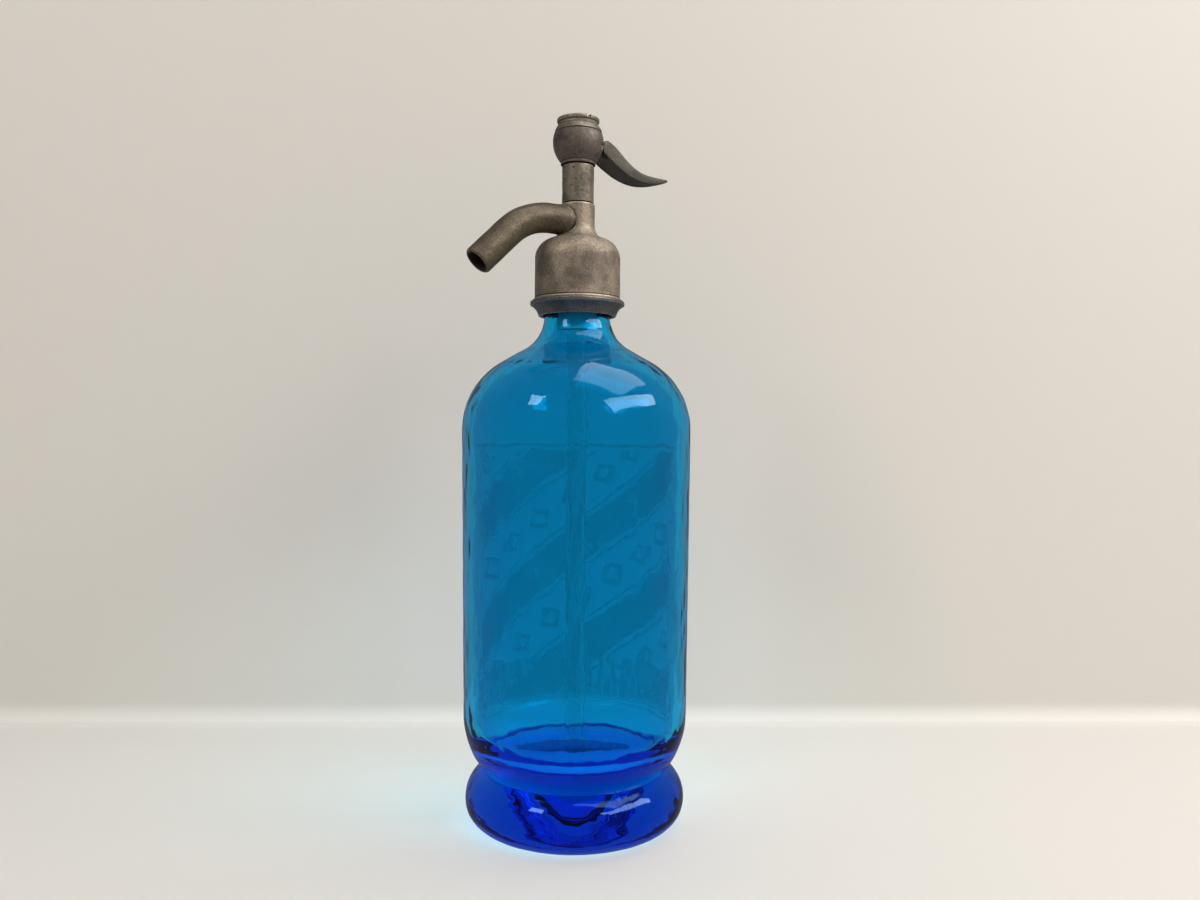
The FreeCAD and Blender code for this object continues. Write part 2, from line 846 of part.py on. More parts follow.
def rod_head():
    """The slotted head that the lever's finger lifts, with a flat seat for the spring."""
    shank = size.head_shank_height
    height = head_top - head_shank_base
    hole = size.stud_radius + size.running_gap
    depth = size.stud_height + size.thread_gap
    body = turned_body("RodHead", [
        (hole, NONE),
        (size.head_shank_radius, NONE),
        (size.head_shank_radius, shank),
        (size.head_radius, shank + size.head_radius - size.head_shank_radius),
        (size.head_radius, height),
        (NONE, height),
        (NONE, depth),
        (hole, depth),
    ])
    half = size.finger_width / 2 + size.loose_gap
    window = slot_top - head_shank_base
    floor = shank + size.head_floor
    slot_across(body, "FingerSlot", rectangle(NONE - half, floor, half, window))
    return keep(place(body, z=head_shank_base), "rod_head")


def washer_screw():
    head = size.screw_head_height
    body = turned_body("WasherScrew", [
        (NONE, NONE),
        (size.screw_head_radius, NONE),
        (size.screw_head_radius, head),
        (size.screw_radius, head),
        (size.screw_radius, head + size.screw_length),
        (NONE, head + size.screw_length),
    ])
    return keep(place(body, z=seat_level - head), "washer_screw")


piston_rod()
rod_head()
ring("ValveWasher", "valve_washer", size.screw_radius + size.running_gap,
     size.valve_washer_radius, size.valve_washer_height, seat_level)
washer_screw()


# Spring: one unbroken wire from the rod's head to the cap's ceiling

def helix_points(radius, turns, rise, steps):
    points = []
    for step in range(int(turns * steps) + 1):
        angle = 2 * math.pi * step / steps
        points.append(FreeCAD.Vector(
            radius * math.cos(angle), radius * math.sin(angle), rise * step / (turns * steps)))
    return points


def helix_wire(radius, turns, rise):
    """A helix of biarcs, four to the turn, each of two arcs that meet in the middle."""
    quarter = 4
    knots = helix_points(radius, turns, rise, quarter)
    climb = rise / (turns * 2 * math.pi * radius)
    edges = []
    for index, start in enumerate(knots[:-1]):
        end = knots[index + 1]
        edges += biarc(start, heading(start, climb), end, heading(end, climb))
    return Part.Wire(edges)


def heading(point, climb):
    """Direction of the helix where it passes a point."""
    around = FreeCAD.Vector(-point.y, point.x, 0).normalize()
    return (around + FreeCAD.Vector(0, 0, climb)).normalize()


def biarc(start, leaving, end, arriving):
    """Two tangent arcs from start to end with the directions given."""
    gap = end - start
    spread = leaving + arriving
    square = spread.dot(spread) - 4
    across = gap.dot(spread)
    reach = (across - math.sqrt(across * across - square * gap.dot(gap))) / square
    near = start + leaving * reach
    far = end - arriving * reach
    meet = (near + far) * 0.5
    return [tangent_arc(start, leaving, meet), tangent_arc(end, arriving * -1, meet)]


def tangent_arc(start, leaving, end):
    """The arc that leaves start in a direction and reaches end."""
    chord = end - start
    normal = leaving.cross(chord).cross(leaving).normalize()
    radius = chord.dot(chord) / (2 * chord.dot(normal))
    centre = start + normal * radius
    middle = centre + ((start + end) * 0.5 - centre).normalize() * radius
    return Part.Arc(start, middle, end).toShape()


def spring():
    wire, coil, turns = size.wire_radius.number, size.coil_radius.number, size.coil_turns.number
    room = cap_ceiling.number - head_top.number
    ends = wire + size.running_gap.number
    rise = room - 2 * ends
    path = helix_wire(coil, turns, rise)
    start = FreeCAD.Vector(coil, 0, 0)
    climb = rise / (turns * 2 * math.pi * coil)
    section = Part.Wire([Part.Circle(start, heading(start, climb), wire).toShape()])
    feature = doc.addObject("Part::Feature", "Spring")
    feature.Shape = path.makePipeShell([section], True, False)
    feature.Placement = FreeCAD.Placement(
        FreeCAD.Vector(0, 0, head_top.number + ends), FreeCAD.Rotation())
    print_least_gap(coil, turns, rise, wire)
    return keep(feature, "spring")


def print_least_gap(coil, turns, rise, wire):
    """Measures how near the spring's wire comes to itself, on points of its line."""
    steps = 48
    points = helix_points(coil, turns, rise, steps)
    nearest = min((points[i] - points[j]).Length
                  for i in range(len(points)) for j in range(i + steps // 2, len(points)))
    print(f"spring: least gap to itself {nearest - 2 * wire:.2f} mm")


spring()


# Lever: a finger in the rod's head, an eye on the pin and a curved horn for the thumb

def lever_side():
    """The lever seen from the side, about its pivot. X runs out to the thumb."""
    finger = size.finger_radius
    reach = size.pivot_reach
    start = size.blade_start - reach
    middle = size.blade_middle_reach - reach
    tip = size.blade_reach - reach
    tip_drop = NONE - size.blade_tip_drop
    under = NONE - size.blade_middle_drop - size.blade_middle_thick
    neck = size.head_radius + size.thread_gap - reach
    return [
        (NONE - reach, finger),
        (NONE - reach, NONE - finger, finger * HALF_ROUND, 1),
        (neck, size.finger_taper - finger),
        (NONE, NONE - size.eye_radius, size.eye_under_curve, 1),
        (start, NONE - size.blade_root_depth, size.blade_under_curve, 1),
        (middle, under, size.blade_under_curve, 1),
        (tip, tip_drop - size.blade_tip_radius / 2, size.blade_under_curve, 1),
        (tip, tip_drop + size.blade_tip_radius / 2, size.blade_tip_radius, 1),
        (middle, NONE - size.blade_middle_drop, size.blade_over_curve, -1),
        (start + size.blade_brow, size.blade_top_rise - size.blade_brow_drop, size.blade_brow_curve, -1),
        (start, size.blade_top_rise, size.blade_tip_radius, 1),
        (start - size.cheek_blend, size.eye_radius + size.eye_rise),
        (NONE, size.eye_radius),
        (neck, finger - size.finger_taper, size.eye_top_curve, 1),
    ]


def lever_plan():
    """The lever seen from above, about its pivot. The blade's root hugs the round bulb."""
    reach = size.pivot_reach
    tail = NONE - reach - size.finger_radius - size.overcut
    start = size.blade_start - reach
    cheek = size.lever_cheek / 2
    finger = size.finger_width / 2
    blade = size.blade_width / 2
    middle = size.blade_middle_width / 2
    middle_reach = size.blade_middle_reach - reach
    tip = size.blade_reach - reach + size.blade_tip_radius / 2
    nose = size.blade_tip_radius
    neck = size.head_radius + size.loose_gap - reach
    hug = size.bulb_radius + size.loose_gap
    hug_at_cheek = square_root(hug * hug - cheek * cheek) - reach
    hug_at_blade = square_root(hug * hug - blade * blade) - reach
    return [
        (tail, NONE - finger),
        (neck, NONE - finger),
        (neck + size.cheek_blend, NONE - cheek),
        (hug_at_cheek, NONE - cheek),
        (hug_at_blade, NONE - blade, hug, -1),
        (start + size.blade_shoulder, NONE - blade),
        (middle_reach, NONE - middle, size.blade_side_curve, 1),
        (tip - nose, NONE - nose, size.blade_nose_curve, 1),
        (tip - nose, nose, nose * HALF_ROUND, 1),
        (middle_reach, middle, size.blade_nose_curve, 1),
        (start + size.blade_shoulder, blade, size.blade_side_curve, 1),
        (hug_at_blade, blade),
        (hug_at_cheek, cheek, hug, -1),
        (neck + size.cheek_blend, cheek),
        (neck, finger),
        (tail, finger),
    ]


def lever():
    body = doc.addObject("PartDesign::Body", "Lever")
    side = new_sketch(body, "XZ_Plane", "LeverSide")
    draw_outline(side, lever_side())
    bore = size.pin_radius + size.running_gap
    eye = side.addGeometry(Part.Circle(
        FreeCAD.Vector(0, 0, 0), FreeCAD.Vector(0, 0, 1), bore.number), False)
    side.addConstraint(Sketcher.Constraint("Coincident", eye, 3, -1, 1))
    bind(side, Sketcher.Constraint("Radius", eye, bore.number), bore, "eyer")
    pad = body.newObject("PartDesign::Pad", "LeverPad")
    pad.Profile = side
    pad.Midplane = True
    pad.setExpression("Length", (size.blade_width + size.overcut).formula)
    side.Visibility = False
    plan = new_sketch(body, "XY_Plane", "LeverPlan")
    draw_outline(plan, lever_plan())
    margin = size.blade_reach * 2
    draw_outline(plan, rectangle(NONE - margin, NONE - margin, margin, margin), name="m")
    trim = body.newObject("PartDesign::Pocket", "LeverTrim")
    trim.Profile = plan
    trim.Type = "ThroughAll"
    trim.Midplane = True
    plan.Visibility = False
    return keep(place(body, x=size.pivot_reach, z=pivot_level), "lever")


def lever_pin():
    body = doc.addObject("PartDesign::Body", "LeverPin")
    sketch = new_sketch(body, "XZ_Plane", "PinSection")
    edge = sketch.addGeometry(Part.Circle(
        FreeCAD.Vector(0, 0, 0), FreeCAD.Vector(0, 0, 1), size.pin_radius.number), False)
    sketch.addConstraint(Sketcher.Constraint("Coincident", edge, 3, -1, 1))
    bind(sketch, Sketcher.Constraint("Radius", edge, size.pin_radius.number), size.pin_radius, "pinr")
    pad = body.newObject("PartDesign::Pad", "PinPad")
    pad.Profile = sketch
    pad.Midplane = True
    pad.setExpression("Length", size.pin_length.formula)
    sketch.Visibility = False
    return keep(place(body, x=size.pivot_reach, z=pivot_level), "lever_pin")


lever()
lever_pin()


# Check every object, then write one STEP file to each piece

doc.recompute()
failed = [item.Name for item in doc.Objects if {"Invalid", "Error"} & set(item.State)]
if failed:
    raise RuntimeError("not built: " + ", ".join(failed))

os.makedirs("parts", exist_ok=True)
for piece in pieces:
    if piece.Shape.isNull() or not piece.Shape.isValid():
        raise RuntimeError("bad shape: " + piece.Label)
    piece.Shape.exportStep(f"parts/{piece.Label}.step")
    print(f"{piece.Label}: {len(piece.Shape.Solids)} solid, {piece.Shape.Volume:.0f} mm3")
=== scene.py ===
import math

import bmesh
import bpy
from mathutils import Matrix, Vector, noise


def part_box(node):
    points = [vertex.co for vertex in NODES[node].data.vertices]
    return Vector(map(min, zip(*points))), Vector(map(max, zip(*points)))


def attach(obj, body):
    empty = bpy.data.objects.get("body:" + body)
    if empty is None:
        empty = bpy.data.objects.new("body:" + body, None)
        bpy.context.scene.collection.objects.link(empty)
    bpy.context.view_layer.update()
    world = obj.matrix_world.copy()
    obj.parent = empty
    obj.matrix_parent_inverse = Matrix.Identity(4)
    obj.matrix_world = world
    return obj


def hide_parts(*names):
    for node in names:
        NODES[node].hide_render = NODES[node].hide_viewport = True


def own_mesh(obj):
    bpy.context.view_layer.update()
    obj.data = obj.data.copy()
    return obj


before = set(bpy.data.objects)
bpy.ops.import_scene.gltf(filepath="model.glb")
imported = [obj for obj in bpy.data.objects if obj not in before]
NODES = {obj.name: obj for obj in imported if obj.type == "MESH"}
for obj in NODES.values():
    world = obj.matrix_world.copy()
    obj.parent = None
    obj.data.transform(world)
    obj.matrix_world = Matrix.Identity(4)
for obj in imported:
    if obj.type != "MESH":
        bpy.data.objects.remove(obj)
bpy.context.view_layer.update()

# Soda siphon: a thick blue glass bottle under a worn cast head. Shapes are drawn in
# millimetres and built in metres. The spout points along -X and the lever along +X.
MM = 0.001


# Places that the frame gives

def low(node):
    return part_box(node)[0][2] / MM


def high(node):
    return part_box(node)[1][2] / MM


RING_BASE = low("neck_ring")
BELL_BASE = low("bell")
STEM_TOP = high("bell")
BULB_BASE = low("bulb")
CAP_TOP = high("cap")
PIVOT_X = (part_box("lever_pin")[0][0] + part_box("lever_pin")[1][0]) / 2 / MM
PIVOT_Z = (low("lever_pin") + high("lever_pin")) / 2
BOTTLE_TOP = high("bottle")

# The spout's foot is fitted to the round stem
STEM_RADIUS = 7.4
SPOUT_RADIUS = 6.35
SPOUT_LEVEL = high("spout") - SPOUT_RADIUS


# Drawing helpers

# A corner nearer the axis than this closes its shell in one point
ON_AXIS = 1e-6
# Waves to each millimetre of the unevenness left by casting and blowing
DENT_SIZE = 0.16


def arc_to(start, end, radius, side, steps):
    """Points after start on the short arc to end. Side +1 bulges to the right of the way."""
    chord = end - start
    half = chord.length / 2
    rise = math.sqrt(max(radius * radius - half * half, 0.0))
    left = Vector((-chord.y, chord.x)).normalized()
    centre = start + chord / 2 + left * rise * side
    turn = 2 * math.asin(min(1.0, half / radius)) * side
    arm = start - centre
    return [centre + Matrix.Rotation(turn * k / steps, 2) @ arm for k in range(1, steps + 1)]


def drawn(corners, steps=12):
    """A closed outline from corners (across, up) and (across, up, radius, side)."""
    points = []
    for index, corner in enumerate(corners):
        start = Vector(corners[index - 1][:2])
        end = Vector(corner[:2])
        if len(corner) == 2:
            points.append(end)
        else:
            points += arc_to(start, end, corner[2], corner[3], steps)
    return points


def softened(points, radius, sharp=20.0, steps=3):
    """Rounds the sharp corners of a closed outline, as casting and wear do."""
    out = []
    for index, point in enumerate(points):
        before = points[index - 1] - point
        after = points[(index + 1) % len(points)] - point
        turn = 180.0 - math.degrees(before.angle(after, math.pi))
        if turn < sharp or point.x < ON_AXIS:
            out.append(point)
            continue
        reach = min(radius, before.length * 0.45, after.length * 0.45)
        first = point + before.normalized() * reach
        last = point + after.normalized() * reach
        for k in range(steps + 1):
            t = k / steps
            out.append(first * (1 - t) ** 2 + point * 2 * t * (1 - t) + last * t ** 2)
    return out


def divided(points, longest):
    """The same closed outline with no run longer than the length given."""
    out = []
    for index, point in enumerate(points):
        start = points[index - 1]
        count = max(1, math.ceil((point - start).length / longest))
        out += [start.lerp(point, k / count) for k in range(1, count + 1)]
    return out


def finished_mesh(shape, name):
    """Makes a mesh of a working shape, which is freed."""
    mesh = bpy.data.meshes.new(name)
    shape.to_mesh(mesh)
    shape.free()
    return mesh


def linked_object(name, data):
    piece = bpy.data.objects.new(name, data)
    bpy.context.scene.collection.objects.link(piece)
    return piece


def mesh_object(name, mesh, material):
    piece = linked_object(name, mesh)
    mesh.materials.append(material)
    for face in mesh.polygons:
        face.use_smooth = True
    return piece


def lathe_mesh(name, points, base, segments, wobble=0.0, seed=0.0):
    """A closed turned shell about the Z axis. Each corner's sharpness is kept as its wear."""
    shape = bmesh.new()
    wear_and_shade = shape.verts.layers.float.new("wear_and_shade")
    rings = []
    for point, worn in zip(points, corner_wear(points)):
        height = base + point.y
        count = 1 if point.x < ON_AXIS else segments
        ring = []
        for step in range(count):
            angle = 2 * math.pi * step / segments
            place = Vector((point.x * math.cos(angle), point.x * math.sin(angle), height))
            radius = point.x
            if wobble and count > 1:
                radius += wobble * noise.fractal((place + Vector((0, 0, seed))) * DENT_SIZE, 1.0, 2.0, 3)
            corner = (radius * math.cos(angle) * MM, radius * math.sin(angle) * MM, height * MM)
            vert = shape.verts.new(corner)
            vert[wear_and_shade] = worn
            ring.append(vert)
        rings.append(ring)
    for index, ring in enumerate(rings):
        join_rings(shape, rings[index - 1], ring)
    bmesh.ops.recalc_face_normals(shape, faces=shape.faces)
    return finished_mesh(shape, name)


def join_rings(shape, ring, after):
    """Faces between two rings of corners, of which one may be a single corner."""
    if len(ring) == 1 and len(after) == 1:
        return
    count = max(len(ring), len(after))
    for k in range(count):
        corners = [ring[k % len(ring)], after[k % len(after)],
                   after[(k + 1) % len(after)], ring[(k + 1) % len(ring)]]
        shape.faces.new(list(dict.fromkeys(corners)))


def corner_wear(points):
    """How convex a closed outline is at each point: above 0 on an edge, below 0 in a crease."""
    sharpest, shortest = 1.6, 1e-9
    turns = []
    for index, point in enumerate(points):
        before = point - points[index - 1]
        after = points[(index + 1) % len(points)] - point
        turn = 0.0
        if before.length > shortest and after.length > shortest:
            turn = before.angle_signed(after, 0.0)
        turns.append(max(-1.0, min(1.0, -turn * sharpest)))
    area = sum(points[i - 1].x * points[i].y - points[i].x * points[i - 1].y
               for i in range(len(points)))
    sign = 1.0 if area > 0 else -1.0
    return [turn * sign for turn in turns]


# Shader groups

BOTTLE_RADIUS = 50.0
RIBBON_SLOPE = -0.62
RIBBON_STEP = 52.0
LOZENGE_STEP = 24.0
LOZENGE_LEVEL = 0.72
FLUTE_STEP = 2.6
FLUTE_TOP = 62.0


def new_group(name, inputs, outputs):
    group = bpy.data.node_groups.new(name, "ShaderNodeTree")
    for label, kind, value in inputs:
        socket = group.interface.new_socket(label, in_out="INPUT", socket_type=kind)
        socket.default_value = value
    for label, kind in outputs:
        group.interface.new_socket(label, in_out="OUTPUT", socket_type=kind)
    return group, group.nodes.new("NodeGroupInput"), group.nodes.new("NodeGroupOutput")


def link(tree, source, target):
    tree.links.new(source, target)


def feed(tree, value, socket):
    """Gives a socket a number or a colour, or links it to another socket."""
    if isinstance(value, (int, float, tuple)):
        socket.default_value = value
    elif value is not None:
        link(tree, value, socket)


def math_node(tree, operation, first, second=None, clamp=False):
    node = tree.nodes.new("ShaderNodeMath")
    node.operation = operation
    node.use_clamp = clamp
    for socket, value in zip(node.inputs, (first, second)):
        feed(tree, value, socket)
    return node.outputs[0]


def times(tree, first, second):
    return math_node(tree, "MULTIPLY", first, second)


def plus(tree, first, second):
    return math_node(tree, "ADD", first, second)


def minus(tree, first, second, clamp=False):
    return math_node(tree, "SUBTRACT", first, second, clamp)


def higher(tree, first, second, clamp=False):
    return math_node(tree, "MAXIMUM", first, second, clamp)


def lower(tree, first, second):
    return math_node(tree, "MINIMUM", first, second)


def noise_node(tree, place, scale, detail=4.0, roughness=0.55):
    node = tree.nodes.new("ShaderNodeTexNoise")
    link(tree, place, node.inputs["Vector"])
    feed(tree, scale, node.inputs["Scale"])
    node.inputs["Detail"].default_value = detail
    node.inputs["Roughness"].default_value = roughness
    return node.outputs["Fac"]


def ramp(tree, value, start, end):
    """Spreads a value so that start becomes 0 and end becomes 1."""
    node = tree.nodes.new("ShaderNodeMapRange")
    node.interpolation_type = "SMOOTHSTEP"
    link(tree, value, node.inputs["Value"])
    node.inputs["From Min"].default_value = start
    node.inputs["From Max"].default_value = end
    return node.outputs["Result"]


def band(tree, value, start, end, soft):
    """1 between start and end, and 0 outside them, with soft edges."""
    return times(tree, ramp(tree, value, start, start + soft), ramp(tree, value, end, end - soft))


def colour_mix(tree, factor, first, second, blend="MIX"):
    node = tree.nodes.new("ShaderNodeMix")
    node.data_type = "RGBA"
    node.blend_type = blend
    # The node has a set of sockets for each data type, so the colour ones go by number
    feed(tree, factor, node.inputs[0])
    feed(tree, first, node.inputs[6])
    feed(tree, second, node.inputs[7])
    return node.outputs[2]


def object_place(tree):
    return tree.nodes.new("ShaderNodeTexCoord").outputs["Object"]


def choose(tree, factor, first, second):
    """One shader where the factor is 0, and the other where it is 1."""
    node = tree.nodes.new("ShaderNodeMixShader")
    for source, socket in zip((factor, first, second), node.inputs):
        link(tree, source, socket)
    return node.outputs[0]


def tarnish_group():
    """Blotches, fine grain, pits and edge wear of old cast metal."""
    group, inward, outward = new_group("tarnish", [
        ("Metal", "NodeSocketColor", (0.4, 0.36, 0.3, 1)),
        ("Stain", "NodeSocketColor", (0.2, 0.17, 0.13, 1)),
        ("Bloom", "NodeSocketColor", (0.3, 0.3, 0.24, 1)),
        ("Dirt and shade", "NodeSocketColor", (0.03, 0.025, 0.02, 1)),
        ("Scale", "NodeSocketFloat", 1.0),
        ("Pitting", "NodeSocketFloat", 0.5),
        ("Sheen", "NodeSocketFloat", 0.45),
    ], [("Color", "NodeSocketColor"), ("Roughness", "NodeSocketFloat"),
        ("Height", "NodeSocketFloat")])
    place = object_place(group)
    scale = inward.outputs["Scale"]

    def spots(size, detail=4.0, roughness=0.55):
        return noise_node(group, place, times(group, scale, size), detail, roughness)

    blotch = ramp(group, spots(75.0), 0.42, 0.62)
    cloud = ramp(group, spots(190.0), 0.45, 0.7)
    patch = ramp(group, spots(230.0), 0.52, 0.64)
    streak = spots(520.0, 3.0, 0.6)
    grain = spots(1500.0, 6.0, 0.7)
    cells = group.nodes.new("ShaderNodeTexVoronoi")
    link(group, place, cells.inputs["Vector"])
    link(group, times(group, scale, 620.0), cells.inputs["Scale"])
    pits = times(group, ramp(group, cells.outputs["Distance"], 0.3, 0.08), patch)
    pits = times(group, pits, inward.outputs["Pitting"])
    # Edges are rubbed bright, and dirt stays in creases, pits and specks; the same dark paints shade where a
    # piece marks it, as in the spout's bore
    wear_and_shade = group.nodes.new("ShaderNodeAttribute")
    wear_and_shade.attribute_name = "wear_and_shade"
    edge = ramp(group, plus(group, wear_and_shade.outputs["Fac"], times(group, grain, 0.35)), 0.3, 0.75)
    crease = ramp(group, minus(group, 0.0, wear_and_shade.outputs["Fac"]), 0.12, 0.5)
    dirt_and_shade = higher(group, crease, times(group, pits, 1.4), True)
    dirt_and_shade = higher(group, dirt_and_shade, times(group, ramp(group, streak, 0.6, 0.75), 0.35), True)
    colour = colour_mix(group, blotch, inward.outputs["Metal"], inward.outputs["Stain"])
    colour = colour_mix(group, times(group, cloud, 0.55), colour, inward.outputs["Bloom"])
    bright = colour_mix(group, 1.0, inward.outputs["Metal"], (2.0, 1.92, 1.8, 1), "MULTIPLY")
    colour = colour_mix(group, times(group, edge, 0.7), colour, bright)
    fleck = group.nodes.new("ShaderNodeCombineColor")
    lightness = plus(group, times(group, ramp(group, grain, 0.3, 0.7), 0.7), 0.6)
    for channel in fleck.inputs:
        link(group, lightness, channel)
    colour = colour_mix(group, 1.0, colour, fleck.outputs[0], "MULTIPLY")
    link(group, colour_mix(group, dirt_and_shade, colour, inward.outputs["Dirt and shade"]), outward.inputs["Color"])
    rough = plus(group, inward.outputs["Sheen"], times(group, cloud, 0.14))
    rough = plus(group, rough, times(group, dirt_and_shade, 0.3))
    link(group, minus(group, rough, times(group, edge, 0.1), True), outward.inputs["Roughness"])
    height = minus(group, times(group, grain, 0.35), times(group, pits, 1.6))
    link(group, plus(group, height, times(group, streak, 0.7)), outward.inputs["Height"])
    return group


def etched_group():
    """Mask of the etched panel on the back of the bottle: frame, slanting ribbons, lozenges, flutes."""
    group, inward, outward = new_group("etched_panel", [
        ("Facing", "NodeSocketFloat", math.radians(60)),
        ("Radius", "NodeSocketFloat", BOTTLE_RADIUS),
        ("Bottom", "NodeSocketFloat", 38.0),
        ("Top", "NodeSocketFloat", 167.0),
        ("Half width", "NodeSocketFloat", 72.0),
    ], [("Frost", "NodeSocketFloat")])
    place = object_place(group)
    facing = group.nodes.new("ShaderNodeVectorRotate")
    facing.rotation_type = "Z_AXIS"
    link(group, place, facing.inputs["Vector"])
    link(group, minus(group, 0.0, inward.outputs["Facing"]), facing.inputs["Angle"])
    split = group.nodes.new("ShaderNodeSeparateXYZ")
    link(group, facing.outputs["Vector"], split.inputs["Vector"])
    angle = math_node(group, "ARCTAN2", split.outputs["Y"], split.outputs["X"])
    across = times(group, angle, inward.outputs["Radius"])
    up = math_node(group, "DIVIDE", split.outputs["Z"], MM)
    # How far inside the panel's rim a place lies
    sideways = minus(group, inward.outputs["Half width"], math_node(group, "ABSOLUTE", across))
    below_top = minus(group, inward.outputs["Top"], up)
    upright = lower(group, minus(group, up, inward.outputs["Bottom"]), below_top)
    inside = lower(group, sideways, upright)
    # Ribbons and lozenges repeat up the panel, each ribbon between two thin lines
    slant = minus(group, up, times(group, across, RIBBON_SLOPE))
    turn = math_node(group, "FRACT", math_node(group, "DIVIDE", slant, RIBBON_STEP))
    ribbon = band(group, turn, 0.02, 0.42, 0.015)
    lines = higher(group, band(group, turn, 0.455, 0.49, 0.01), band(group, turn, 0.955, 0.99, 0.01))
    along = plus(group, across, times(group, up, RIBBON_SLOPE))
    cell = minus(group, math_node(group, "FRACT", math_node(group, "DIVIDE", along, LOZENGE_STEP)), 0.5)
    reach = math_node(group, "ABSOLUTE", times(group, cell, LOZENGE_STEP))
    rise = math_node(group, "ABSOLUTE", times(group, minus(group, turn, LOZENGE_LEVEL), RIBBON_STEP))
    lozenge = band(group, plus(group, reach, times(group, rise, 1.1)), 4.4, 8.2, 0.6)
    flutes = math_node(group, "PINGPONG", across, FLUTE_STEP)
    ruled = times(group, ramp(group, flutes, 1.2, 1.35), ramp(group, up, FLUTE_TOP + 0.3, FLUTE_TOP))
    field = higher(group, higher(group, ribbon, lines), higher(group, lozenge, ruled))
    filled = times(group, field, ramp(group, inside, 5.0, 5.3))
    frost = higher(group, filled, band(group, inside, 2.0, 3.6, 0.3))
    frost = times(group, frost, ramp(group, inside, 0.0, 0.3))
    worn = ramp(group, noise_node(group, place, 90.0, 3.0), 0.2, 0.5)
    link(group, times(group, frost, worn), outward.inputs["Frost"])
    return group


# Materials

def new_material(name):
    material = bpy.data.materials.new(name)
    material.use_nodes = True
    tree = material.node_tree
    return material, tree, tree.nodes["Principled BSDF"]


def bump(tree, height, strength, distance):
    node = tree.nodes.new("ShaderNodeBump")
    node.inputs["Strength"].default_value = strength
    node.inputs["Distance"].default_value = distance
    link(tree, height, node.inputs["Height"])
    return node.outputs["Normal"]


def cast_metal(name, metal, stain, bloom, scale=1.0, pitting=0.5, sheen=0.5, metallic=0.6,
               relief=0.00018, dirt_and_shade=(0.03, 0.024, 0.018)):
    material, tree, shader = new_material(name)
    group = tree.nodes.new("ShaderNodeGroup")
    group.node_tree = TARNISH
    for label, value in (("Metal", metal), ("Stain", stain), ("Bloom", bloom), ("Dirt and shade", dirt_and_shade)):
        group.inputs[label].default_value = (*value, 1)
    group.inputs["Scale"].default_value = scale
    group.inputs["Pitting"].default_value = pitting
    group.inputs["Sheen"].default_value = sheen
    link(tree, group.outputs["Color"], shader.inputs["Base Color"])
    link(tree, group.outputs["Roughness"], shader.inputs["Roughness"])
    link(tree, bump(tree, group.outputs["Height"], 0.8, relief), shader.inputs["Normal"])
    shader.inputs["Metallic"].default_value = metallic
    return material


def soft_rubber(name, colour, rough):
    material, tree, shader = new_material(name)
    place = object_place(tree)
    dark = tuple(part * 0.7 for part in colour)
    cloud = noise_node(tree, place, 240.0, 4.0)
    link(tree, colour_mix(tree, cloud, (*colour, 1), (*dark, 1)), shader.inputs["Base Color"])
    grain = noise_node(tree, place, 2600.0, 5.0, 0.7)
    link(tree, bump(tree, grain, 0.4, 0.00008), shader.inputs["Normal"])
    shader.inputs["Roughness"].default_value = rough
    return material


def new_glass(name):
    material, tree, shader = new_material(name)
    shader.inputs["Transmission Weight"].default_value = 1.0
    shader.inputs["IOR"].default_value = 1.5
    return material, tree, shader


def body_tint(tree, colour, density):
    """Colours the light on its way through a solid glass body."""
    soak = tree.nodes.new("ShaderNodeVolumeAbsorption")
    soak.inputs["Color"].default_value = (*colour, 1)
    soak.inputs["Density"].default_value = density
    link(tree, soak.outputs["Volume"], tree.nodes["Material Output"].inputs["Volume"])


def blue_glass():
    material, tree, shader = new_glass("blue_glass")
    shader.inputs["Specular Tint"].default_value = GLASS_GLINT
    group = tree.nodes.new("ShaderNodeGroup")
    group.node_tree = ETCHED
    frost = group.outputs["Frost"]
    place = object_place(tree)
    split = tree.nodes.new("ShaderNodeSeparateXYZ")
    link(tree, place, split.inputs[0])
    # Painted light: the face turns paler and greener towards the foot, standing in for the light it gathers
    # from the bright floor
    foot = ramp(tree, split.outputs["Z"], FOOT_PAINTED_LIGHT_TOP * MM, FOOT_PAINTED_LIGHT_FULL * MM)
    face = colour_mix(tree, frost, GLASS_FACE, ETCHED_FACE)
    link(tree, colour_mix(tree, foot, face, FOOT_PAINTED_LIGHT), shader.inputs["Base Color"])
    link(tree, plus(tree, times(tree, frost, 0.38), 0.012), shader.inputs["Roughness"])
    ripple = noise_node(tree, place, 28.0, 2.0, 0.4)
    etch = times(tree, noise_node(tree, place, 1800.0, 4.0, 0.7), frost)
    height = plus(tree, ripple, times(tree, etch, 0.02))
    link(tree, bump(tree, height, 0.15, 0.0014), shader.inputs["Normal"])
    body_tint(tree, GLASS_TINT, GLASS_DENSITY)
    return material


def clear_glass():
    material, tree, shader = new_glass("tube_glass")
    shader.inputs["Base Color"].default_value = (0.86, 0.95, 0.96, 1)
    haze = noise_node(tree, object_place(tree), 60.0, 3.0)
    link(tree, times(tree, haze, 0.12), shader.inputs["Roughness"])
    return material


# Faces tint each crossing, and the body tints by the way through it. The foot's paler, greener face is
# painted light, for the light the thick foot gathers from the bright floor
GLASS_FACE = (0.04, 0.62, 0.81, 1)
ETCHED_FACE = (0.02, 0.5, 0.62, 1)
FOOT_PAINTED_LIGHT = (0.04, 0.97, 0.97, 1)
FOOT_PAINTED_LIGHT_TOP = 34.0
FOOT_PAINTED_LIGHT_FULL = 22.0
GLASS_GLINT = (0.25, 0.5, 0.75, 1)
GLASS_TINT = (0.0, 0.92, 0.99)
GLASS_DENSITY = 430.0

